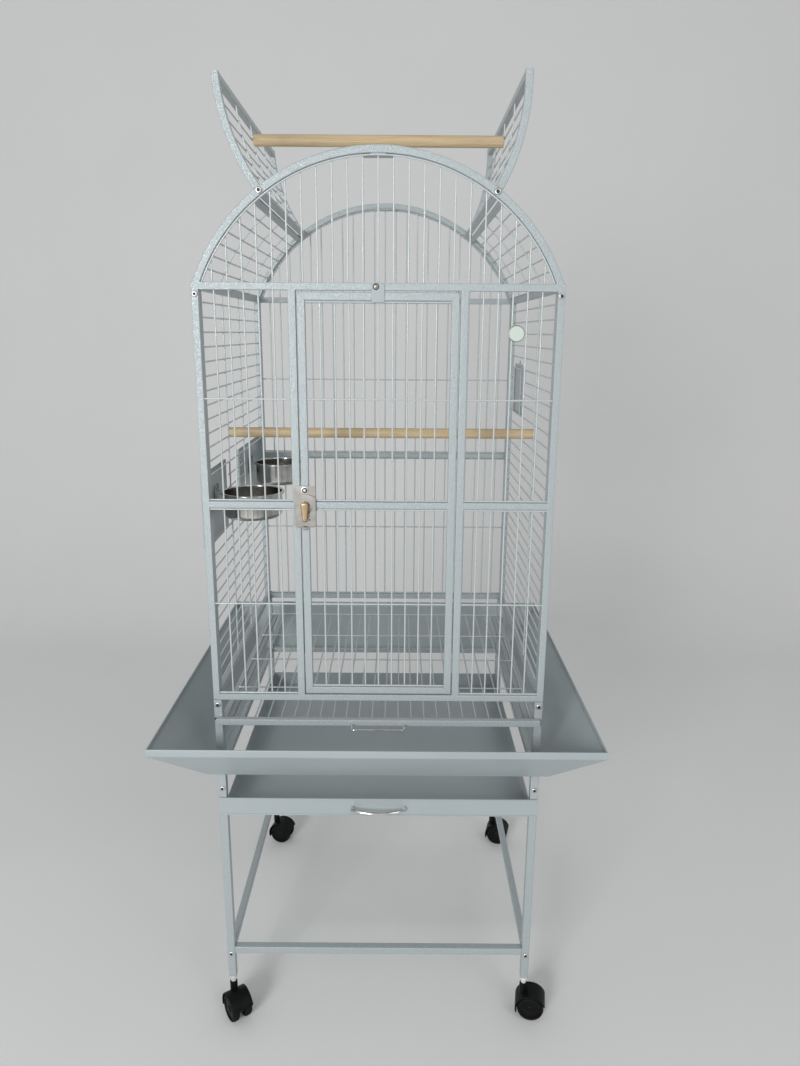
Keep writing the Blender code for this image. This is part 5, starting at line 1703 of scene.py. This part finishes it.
@dataclass
class Hatch:
    """Small hatch on the right side with its turn button."""

    sheet: float = 0.0012
    barrel: float = 0.0025
    corner: float = 0.004
    edge: tuple[float, float] = (0.0012, 0.0034)
    edge_depth: float = 0.0018
    edge_insets: tuple[float, float] = (0.004, 0.005)
    bolt_radius: float = 0.003

    def build(self) -> None:
        """Make both pieces."""
        self.hatch()
        self.button()

    def hatch(self) -> None:
        """The sheet with its bent edges and the hinge barrel."""
        low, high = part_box("side_hatch")
        hinge = low.z + self.barrel
        shape = Shape(SHEET)
        shape.slab([rectangle((low.y, hinge), (high.y, high.z), self.corner)], self.sheet,
                   sideways_at(low.x + self.sheet / 2))
        thickness, width = self.edge
        x = low.x + self.edge_depth
        foot, head = self.edge_insets
        for y in (low.y + thickness, high.y - thickness):
            shape.bar((x, y, hinge + foot), (x, y, high.z - head),
                      (thickness, width), X_AXIS, THIN_CORNER)
        shape.turn(knuckles(high.y - low.y, self.barrel, self.barrel * 0.8, self.barrel * 0.85,
                            (0.25, 0.75)),
                   Vector((low.x + self.barrel, low.y, hinge)), Y_AXIS, 20)
        shape.piece("side_hatch", "sheet", Body.HATCH.value)

    def button(self) -> None:
        """The turn button over the hatch, with its bolt."""
        low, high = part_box("hatch_button")
        half = (high.y - low.y) / 2
        middle = (low.y + high.y) / 2
        outline = arc((middle, low.z + half), half, math.pi, math.tau, 10) \
            + arc((middle, high.z - half), half, 0.0, math.pi, 10)
        shape = Shape(STEEL)
        shape.slab([outline], self.sheet, sideways_at(low.x + self.sheet / 2))
        shape.bolt(Vector((low.x + self.sheet, middle, low.z + half)), X_AXIS, self.bolt_radius,
                   high.x - low.x - self.sheet)
        shape.piece("hatch_button", "plate", Body.BUTTON.value)


@dataclass
class StandSide:
    """Welded side of the stand: two legs, two rails and the runners for tray and grate."""

    side: Side
    layout: Layout
    leg_corner: float = 0.0016
    lower_rise: float = 0.053
    upper_drop: float = 0.119
    lower_tube: float = 0.0114
    rail_relief: float = 0.0012
    runner_drops: tuple[float, float] = (0.1983, 0.0378)
    runner_width: float = 0.012
    runner_sheet: float = 0.0015
    runner_lip: float = 0.006
    bolt_drops: tuple[float, ...] = (0.008, 0.153, 0.4655)
    bolt: tuple[float, float] = (0.0044, 0.002)
    plug: tuple[float, float, float] = (0.004, 0.0316, 0.002)

    def build(self) -> None:
        """Make the legs, rails and runners, and the bolts in the legs."""
        lay = self.layout
        node = "stand_side_" + self.side.label
        low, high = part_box(node)
        x = self.side.value * (lay.half_width - lay.leg / 2)
        y = lay.rear - lay.leg / 2
        shape = Shape(COAT)
        for end in End:
            shape.bar((x, end.value * y, low.z), (x, end.value * y, high.z),
                      (lay.leg, lay.leg), Y_AXIS, self.leg_corner)
        for height, size in ((low.z + self.lower_rise, self.lower_tube),
                             (lay.bottom - self.upper_drop, lay.tube)):
            shape.bar((x, -y, height), (x, y, height), (lay.leg - self.rail_relief, size), Z_AXIS)
        for drop in self.runner_drops:
            self.runner(shape, x, y, lay.bottom - drop)
        if self.side is Side.LEFT:
            inset, drop, radius = self.plug
            shape.wear(SOCKET_DARK).disc(radius, 0.0, 0.0006,
                                         Vector((x - inset, lay.front, lay.bottom - drop)), -Y_AXIS)
        for z in (lay.bottom - drop for drop in self.bolt_drops):
            for end in End:
                shape.bolt(Vector((x, end.value * lay.rear, z)), Y_AXIS * end.value, *self.bolt)
        shape.piece(node, "tubes")

    def runner(self, shape: Shape, x: float, y: float, top: float) -> None:
        """Add one angle strip that the tray or the grate slides on.

        Args:
            shape: the shape of this side.
            x: middle of the legs.
            y: half the length of the strip.
            top: height of its upper face.
        """
        edge = self.side.value * (self.layout.half_width - self.layout.leg - self.runner_width)
        middle, level = (x + edge) / 2, top - self.runner_sheet / 2
        shape.bar((middle, -y, level), (middle, y, level),
                  (abs(x - edge), self.runner_sheet), Z_AXIS, THIN_CORNER)
        lip, level = edge + self.side.value * self.runner_sheet / 2, top - self.runner_lip / 2
        shape.bar((lip, -y, level), (lip, y, level),
                  (self.runner_sheet, self.runner_lip), Z_AXIS, THIN_CORNER)


@dataclass
class StandRails:
    """The four cross rails bolted between the sides of the stand."""

    corner: float = 0.0016

    def build(self) -> None:
        """Make each rail where the frame has it."""
        for end in End:
            for level in ("lower", "upper"):
                node = f"stand_rail_{end.label}_{level}"
                low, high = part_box(node)
                middle = (low + high) / 2
                shape = Shape(COAT)
                shape.bar((low.x, middle.y, middle.z), (high.x, middle.y, middle.z),
                          (high.y - low.y, high.z - low.z), Z_AXIS, self.corner)
                shape.piece(node, "tube")


@dataclass
class Tray:
    """Sliding litter tray with its hemmed face and bow handle."""

    sheet: float = 0.0012
    hem: float = 0.0011
    hem_inset: float = 0.001
    pan_inset: float = 0.0136
    pan_corner: float = 0.002
    face_corner: float = 0.0015
    handle_radius: float = 0.003
    foot: float = 0.0066
    fullness: float = 0.6
    steps: int = 24

    def build(self) -> None:
        """Make the pan with its face, and the handle."""
        low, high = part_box("tray")
        front, half = low.y + self.sheet, high.x - self.pan_inset
        floor, rim = low.z + self.sheet, high.z - self.sheet / 2
        shape = Shape(SHEET)
        outer = rectangle((-half, front), (half, high.y), self.pan_corner)
        inner = rectangle((self.sheet - half, front + self.sheet),
                          (half - self.sheet, high.y - self.sheet), self.pan_corner)
        shape.loft([[Vector((*place, z)) for place in outline]
                    for outline, z in ((outer, floor), (outer, rim), (inner, rim),
                                       (inner, floor + self.sheet))])
        shape.slab([rectangle((low.x, low.z), (high.x, high.z), self.face_corner)], self.sheet,
                   upright_at(low.y + self.sheet / 2))
        first, last = low.x + self.hem_inset, high.x - self.hem_inset
        for z in (low.z + self.hem, high.z - self.hem):
            shape.wire([(first, low.y, z), (last, low.y, z)], self.hem, sides=12)
        shape.piece("tray", "pan", Body.TRAY.value)
        self.handle((low.z + high.z) / 2)

    def handle(self, level: float) -> None:
        """The bow of thick chromed wire.

        Args:
            level: height of its middle.
        """
        low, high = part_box("tray_handle")
        half = (high.x - low.x) / 2 - self.handle_radius
        face, reach = high.y, high.y - low.y - self.handle_radius
        bow = reach - self.foot
        path = [Vector((-half, face, level))]
        for step in range(self.steps + 1):
            share = step / self.steps
            rise = math.sin(math.pi * share) ** self.fullness if 0 < share < 1 else 0.0
            path.append(Vector((half * (2 * share - 1), face - self.foot - bow * rise, level)))
        path.append(Vector((half, face, level)))
        shape = Shape(CHROME)
        shape.wire(path, self.handle_radius, Z_AXIS, sides=14)
        shape.piece("tray_handle", "bow", Body.TRAY.value)


@dataclass
class Grate:
    """Pull-out grate: front bar, wires both ways and a thin wire handle."""

    layout: Layout
    pitch: float = 0.020
    border: float = 0.006
    cross_wires: int = 3
    crossing_share: float = 1.7
    tucked: float = 0.003
    handle_bend: float = 0.005

    def build(self) -> None:
        """Make the grate and its handle."""
        self.bars()
        self.handle()

    def bars(self) -> None:
        """The front bar, the long wires behind it and the ones that cross them."""
        lay = self.layout
        low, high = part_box("grate")
        y, z = low.y + lay.tube / 2, low.z + lay.tube / 2
        shape = Shape(COAT)
        shape.bar((low.x, y, z), (high.x, y, z), (lay.tube, lay.tube), Z_AXIS)
        shape.wear(WIRE_COAT)
        back, end = low.y + lay.tube, high.y - lay.wire
        half = lay.half_width - lay.leg - 3 * lay.gap
        level = low.z + lay.wire + lay.gap
        inner = half - self.border
        count = round(2 * inner / self.pitch) - 1
        for x in [-half + lay.wire] + even(-inner, inner, count) + [half - lay.wire]:
            shape.wire([(x, back - self.tucked, level), (x, end, level)], lay.wire)
        level += self.crossing_share * lay.wire
        for y in even(back, high.y - self.border, self.cross_wires) + [high.y - 2 * lay.wire]:
            shape.wire([(-half, y, level), (half, y, level)], lay.wire)
        shape.piece("grate", "bars", Body.GRATE.value)

    def handle(self) -> None:
        """The bent wire handle on the front bar."""
        low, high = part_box("grate_handle")
        radius = (high.z - low.z) / 2
        z = (low.z + high.z) / 2
        reach = (high.x - low.x) / 2 - radius
        corners = [Vector((-reach, high.y, z)), Vector((-reach, low.y + radius, z)),
                   Vector((reach, low.y + radius, z)), Vector((reach, high.y, z))]
        shape = Shape(CHROME)
        shape.wire(bend(corners, self.handle_bend), radius, Z_AXIS, sides=12)
        shape.piece("grate_handle", "wire", Body.GRATE.value)


@dataclass
class SeedSkirt:
    """Four sloping sheets round the stand that throw seed back, with rolled lips."""

    layout: Layout
    sheet: float = 0.0012
    foot: float = 0.011
    lip: float = 0.0115
    hem: float = 0.0012
    ease: float = 0.001
    seam: float = 0.0001
    bolt_place: tuple[float, float] = (0.55, 0.012)
    bolt: tuple[float, float] = (0.0035, 0.0018)

    def build(self) -> None:
        """Make the four sides."""
        lay = self.layout
        for label, across, half_along, turn in (
                ("front", lay.rear, lay.half_width, -90.0), ("rear", lay.rear, lay.half_width, 90.0),
                ("left", lay.half_width, lay.rear, 180.0), ("right", lay.half_width, lay.rear, 0.0)):
            node = "skirt_" + label
            low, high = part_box(node)
            reach = {"front": -low.y, "rear": high.y, "left": -low.x, "right": high.x}[label]
            self.side(node, across, half_along, reach - across, (low.z, high.z), turn)

    def profile(self, reach: float, bottom: float, top: float) -> list[Point2]:
        """Outline of the bent sheet, as (out from the stand, height).

        Args:
            reach: how far the lip stands out.
            bottom: height of the foot.
            top: height of the lip's upper edge.

        Returns:
            The closed outline of the thin sheet with a rolled edge on its lip.
        """
        knee = top - self.lip
        middle = self.sheet / 2
        ease = self.ease
        bead = (reach - self.hem, top - self.hem)
        spine = [(CLEARANCE, bottom + middle), (self.foot - ease, bottom + middle),
                 (self.foot + ease, bottom + middle + ease),
                 (reach - middle - self.sheet, knee - middle), (reach - middle, knee + self.sheet),
                 (reach - middle, bead[1] - ease)]
        outer: list[Point2] = []
        inner: list[Point2] = []
        for index, place in enumerate(spine):
            before = Vector(spine[max(index - 1, 0)])
            after = Vector(spine[min(index + 1, len(spine) - 1)])
            run = (after - before).normalized()
            outer.append((place[0] + run.y * middle, place[1] - run.x * middle))
            inner.append((place[0] - run.y * middle, place[1] + run.x * middle))
        return outer + arc(bead, self.hem, -0.3, math.pi + 0.3, 8) + inner[::-1]

    def side(self, node: str, across: float, half_along: float, reach: float,
             heights: tuple[float, float], turn: float) -> None:
        """One side with mitred ends and the bolts under its foot.

        Args:
            node: its CAD node.
            across: distance of the stand's face from the middle.
            half_along: half the length of the stand along this side.
            reach: how far the skirt stands out.
            heights: lowest and highest edge.
            turn: angle that takes the right side to this one, in degrees.
        """
        outline = self.profile(reach, *heights)
        shape = Shape(SHEET)
        shape.loft([[Vector((across + out, end * (half_along + out - self.seam), z))
                     for out, z in outline] for end in (-1, 1)])
        share, inset = self.bolt_place
        for end in (-1, 1):
            shape.bolt(Vector((across + self.foot * share, end * (half_along - inset), heights[0])),
                       -Z_AXIS, *self.bolt)
        shape.turned_by(Matrix.Rotation(math.radians(turn), 4, "Z"))
        shape.piece(node, "sheet")


@dataclass
class Caster:
    """Swivel caster: white socket in the leg, black hood and twin wheels."""

    end: End
    side: Side
    layout: Layout
    direction: float
    wheel: float = 0.0225
    tread: float = 0.0125
    spacing: float = 0.011
    trail: float = 0.0135
    hood: tuple[float, float] = (0.0015, 0.0035)
    hood_angles: tuple[float, float] = (math.radians(20), math.radians(200))
    hood_ease: float = 0.0009
    web: tuple[float, float] = (0.001, 0.010)
    web_relief: float = 0.003
    web_ease: float = 0.0006
    bore: float = 0.0043
    axle_radius: float = 0.0038
    boss_ease: float = 0.0012
    boss_sunk: float = 0.004

    def build(self) -> None:
        """Make the socket, the hood and the wheels."""
        lay = self.layout
        place = f"{self.end.label}_{self.side.label}"
        stem = Vector((self.side.value * (lay.half_width - lay.leg / 2),
                       self.end.value * (lay.rear - lay.leg / 2), 0.0))
        turn = math.radians(self.direction)
        back = Vector((math.cos(turn), math.sin(turn), 0.0))
        axle = Vector((-back.y, back.x, 0.0))
        hub = stem + back * self.trail + Z_AXIS * self.wheel
        self.socket("caster_socket_" + place, stem)
        self.moulding("caster_hood_" + place, "swivel_" + place, hub, back, axle)
        self.wheels("caster_wheels_" + place, "wheels_" + place, hub, axle)

    def socket(self, node: str, stem: Vector) -> None:
        """The white plug in the end of the leg.

        Args:
            node: its CAD node.
            stem: where the stem's axis meets the floor.
        """
        low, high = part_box(node)
        radius = (high.x - low.x) / 2
        height = high.z - low.z
        shape = Shape(WHITE)
        shape.turn([(0.0, 0.0), (radius * 0.66, 0.0), (radius * 0.72, height * 0.1),
                    (radius * 0.98, height * 0.62), (radius, height * 0.7),
                    (radius, height * 0.95), (radius * 0.96, height), (0.0, height)],
                   stem + Z_AXIS * low.z, Z_AXIS, 28)
        shape.piece(node, "plug")

    def moulding(self, node: str, body: str, hub: Vector, back: Vector, axle: Vector) -> None:
        """The hood over the wheels, its web and the boss under the socket.

        Args:
            node: its CAD node.
            body: the body that swivels with it.
            hub: middle of the axle.
            back: direction from the stem to the hub.
            axle: direction of the axle.
        """
        inner, outer = (self.wheel + more for more in self.hood)
        placing = Matrix.Translation(hub) @ Matrix((
            (back.x, axle.x, 0, 0), (back.y, axle.y, 0, 0), (0, 0, 1, 0), (0, 0, 0, 1)))
        facing = placing @ UPRIGHT
        middle, facets = (0.0, 0.0), 24
        first, last = self.hood_angles
        shape = Shape(BLACK)
        shape.slab([arc(middle, outer, first, last, facets) + arc(middle, inner, last, first, facets)],
                   2 * self.tread + self.spacing, facing, self.hood_ease)
        sunk, half_web = self.web
        web = arc(middle, outer - sunk, first, last, facets) \
            + [(-half_web, -half_web), (half_web, -half_web)]
        bore = arc(middle, self.bore, 0.0, math.tau * 23 / 24, 23)
        shape.slab([web, bore], self.spacing - self.web_relief, facing, self.web_ease)
        lowest = math.sqrt(inner ** 2 - self.trail ** 2) - self.boss_sunk
        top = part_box(node)[1].z - self.wheel
        radius = self.layout.leg / 2
        shape.turn([(0.0, lowest), (radius * 0.98, lowest), (radius, top - self.boss_ease),
                    (radius - self.boss_ease, top), (0.0, top)],
                   placing @ Vector((-self.trail, 0.0, 0.0)), Z_AXIS, 28)
        shape.piece(node, "moulding", body)

    def wheels(self, node: str, body: str, hub: Vector, axle: Vector) -> None:
        """Two wheels with rounded treads and dished hub caps.

        Args:
            node: its CAD node.
            body: the body that rolls with them.
            hub: middle of the axle.
            axle: direction of the axle.
        """
        inside, outside = self.spacing / 2, self.spacing / 2 + self.tread
        rim = self.wheel
        shape = Shape(TREAD)
        for sign in (-1, 1):
            out = axle * sign
            shape.wear(TREAD).turn(
                [(rim * 0.76, inside + 0.0006), (rim * 0.9, inside), (rim - 0.0012, inside + 0.0004),
                 (rim, inside + 0.0018), (rim, outside - 0.0048), (rim - 0.0006, outside - 0.0028),
                 (rim * 0.94, outside - 0.0012), (rim * 0.86, outside - 0.0004),
                 (rim * 0.8, outside - 0.0008), (rim * 0.76, outside - 0.0022)],
                hub, out, 48, True)
            shape.wear(BLACK).turn(
                [(0.0, inside + 0.0008), (rim * 0.77, inside + 0.0008),
                 (rim * 0.77, outside - 0.0024), (rim * 0.68, outside - 0.0026),
                 (rim * 0.3, outside - 0.0016), (rim * 0.26, outside - 0.0004),
                 (rim * 0.2, outside), (0.0, outside)], hub, out, 48)
        shape.wear(STEEL).wire([hub - axle * inside, hub + axle * inside], self.axle_radius, sides=20)
        shape.piece(node, "pair", body)


@dataclass
class Studio:
    """Pale floor with a curved wall behind it, soft lights and the camera."""

    eye: tuple[float, float, float] = (0.0317, -1.3672, 1.1373)
    pitch: float = math.radians(75.81)
    roll: float = math.radians(0.38)
    lens: float = 26.75
    sensor: float = 36.0
    paper: Colour = (0.80, 0.80, 0.80, 1.0)
    near: float = -4.0
    back: float = 1.3
    bend_radius: float = 0.8
    bend_steps: int = 16
    top: float = 4.5
    width: float = 7.0
    room: Colour = (0.99, 1.0, 1.0, 1.0)
    room_strength: float = 0.44

    def build(self) -> None:
        """Make the sweep of paper, the lights and the camera."""
        self.backdrop()
        self.lights()
        self.camera()

    def backdrop(self) -> None:
        """The floor and the wall behind, one curved sheet of pale paper."""
        profile = [(self.near, 0.0), (self.back, 0.0)]
        for step in range(1, self.bend_steps + 1):
            turn = math.pi / 2 * step / self.bend_steps
            profile.append((self.back + self.bend_radius * math.sin(turn),
                            self.bend_radius * (1 - math.cos(turn))))
        profile.append((self.back + self.bend_radius, self.top))
        shape = bmesh.new()
        rows = [[shape.verts.new((side * self.width / 2, y, z)) for side in (-1, 1)]
                for y, z in profile]
        for first, second in zip(rows, rows[1:]):
            shape.faces.new((first[0], first[1], second[1], second[0]))
        mesh = bpy.data.meshes.new("studio_sweep")
        shape.to_mesh(mesh)
        shape.free()
        for polygon in mesh.polygons:
            polygon.use_smooth = True
        paper = Paintbox("studio_paper")
        paper.shader.inputs["Roughness"].default_value = 0.9
        tone = paper.ramp(paper.noise(3.0, 2.0), [(NOISE_LOW, shade(self.paper, 0.985)),
                                                  (NOISE_HIGH, self.paper)])
        paper.link(tone, paper.shader.inputs["Base Color"])
        mesh.materials.append(paper.material)
        sweep = bpy.data.objects.new("studio_sweep", mesh)
        bpy.context.scene.collection.objects.link(sweep)

    def lights(self) -> None:
        """An even pale room, a key lamp left of the camera and a weak fill lamp to its right."""
        world = bpy.data.worlds.new("studio_room")
        bpy.context.scene.world = world
        world.use_nodes = True
        background = world.node_tree.nodes["Background"]
        background.inputs["Color"].default_value = self.room
        background.inputs["Strength"].default_value = self.room_strength
        for name, place, aim, size, power in (
                ("key_lamp", (-1.3, -3.3, 1.5), (0.0, 0.0, 0.70), 1.0, 64.0),
                ("fill_lamp", (1.6, -2.6, 2.4), (0.0, 0.0, 0.7), 1.2, 14.0)):
            lamp = bpy.data.lights.new(name, "AREA")
            lamp.energy = power
            lamp.size = size
            holder = bpy.data.objects.new(name, lamp)
            holder.location = place
            holder.rotation_euler = (Vector(aim) - Vector(place)).to_track_quat("-Z", "Y").to_euler()
            bpy.context.scene.collection.objects.link(holder)

    def camera(self) -> None:
        """The camera where the photograph was taken."""
        lens = bpy.data.cameras.new("photo_camera")
        lens.lens = self.lens
        lens.sensor_width = self.sensor
        holder = bpy.data.objects.new("photo_camera", lens)
        bpy.context.scene.collection.objects.link(holder)
        holder.matrix_world = (Matrix.Translation(self.eye) @ Matrix.Rotation(self.pitch, 4, "X")
                               @ Matrix.Rotation(self.roll, 4, "Z"))
        bpy.context.scene.camera = holder


# How far the roof flaps stand open and where the casters point in the photograph, in degrees.
FLAPS_OPENED = ((Side.LEFT, 91.0), (Side.RIGHT, 84.5))
CASTERS_TURNED = ((End.FRONT, Side.LEFT, -55.0), (End.FRONT, Side.RIGHT, -10.0),
                  (End.REAR, Side.LEFT, -15.0), (End.REAR, Side.RIGHT, -15.0))


def main() -> None:
    """Build every sub-assembly in order, then the studio."""
    logging.basicConfig(level=logging.INFO, format="%(name)s: %(message)s")
    scene = bpy.context.scene
    scene.view_settings.view_transform = "Standard"
    layout = Layout.from_frame()
    LOG.info("frame: half width %.4f, beam height %.4f", layout.half_width, layout.beam)
    for end in End:
        EndPanel(end, layout).build()
    row = layout.feeder_row
    feeder_rows = (row, row + 5 * layout.pitch)
    hatch_rows = (row + 8 * layout.pitch, row + 12 * layout.pitch)
    SidePanel(Side.LEFT, layout, ((*feeder_rows, layout.front, FEEDER_UPRIGHTS[0]),
                                  (*feeder_rows, FEEDER_UPRIGHTS[1], layout.rear))).build()
    SidePanel(Side.RIGHT, layout, ((*hatch_rows, *HATCH_UPRIGHTS),)).build()
    for side, opened in FLAPS_OPENED:
        RoofSide(side, layout).build()
        RoofFlap(side, layout, math.radians(opened)).build()
        for end in End:
            FlapPivot(end, side, layout).build()
    Perches().build()
    Door(layout).build()
    DoorLock().build()
    DoorTrim(layout).build()
    for place in End:
        Feeder(place).build()
    Hatch().build()
    for side in Side:
        StandSide(side, layout).build()
    StandRails().build()
    Tray().build()
    Grate(layout).build()
    SeedSkirt(layout).build()
    for end, side, direction in CASTERS_TURNED:
        Caster(end, side, layout, direction).build()
    Studio().build()


if __name__ == "__main__":
    main()
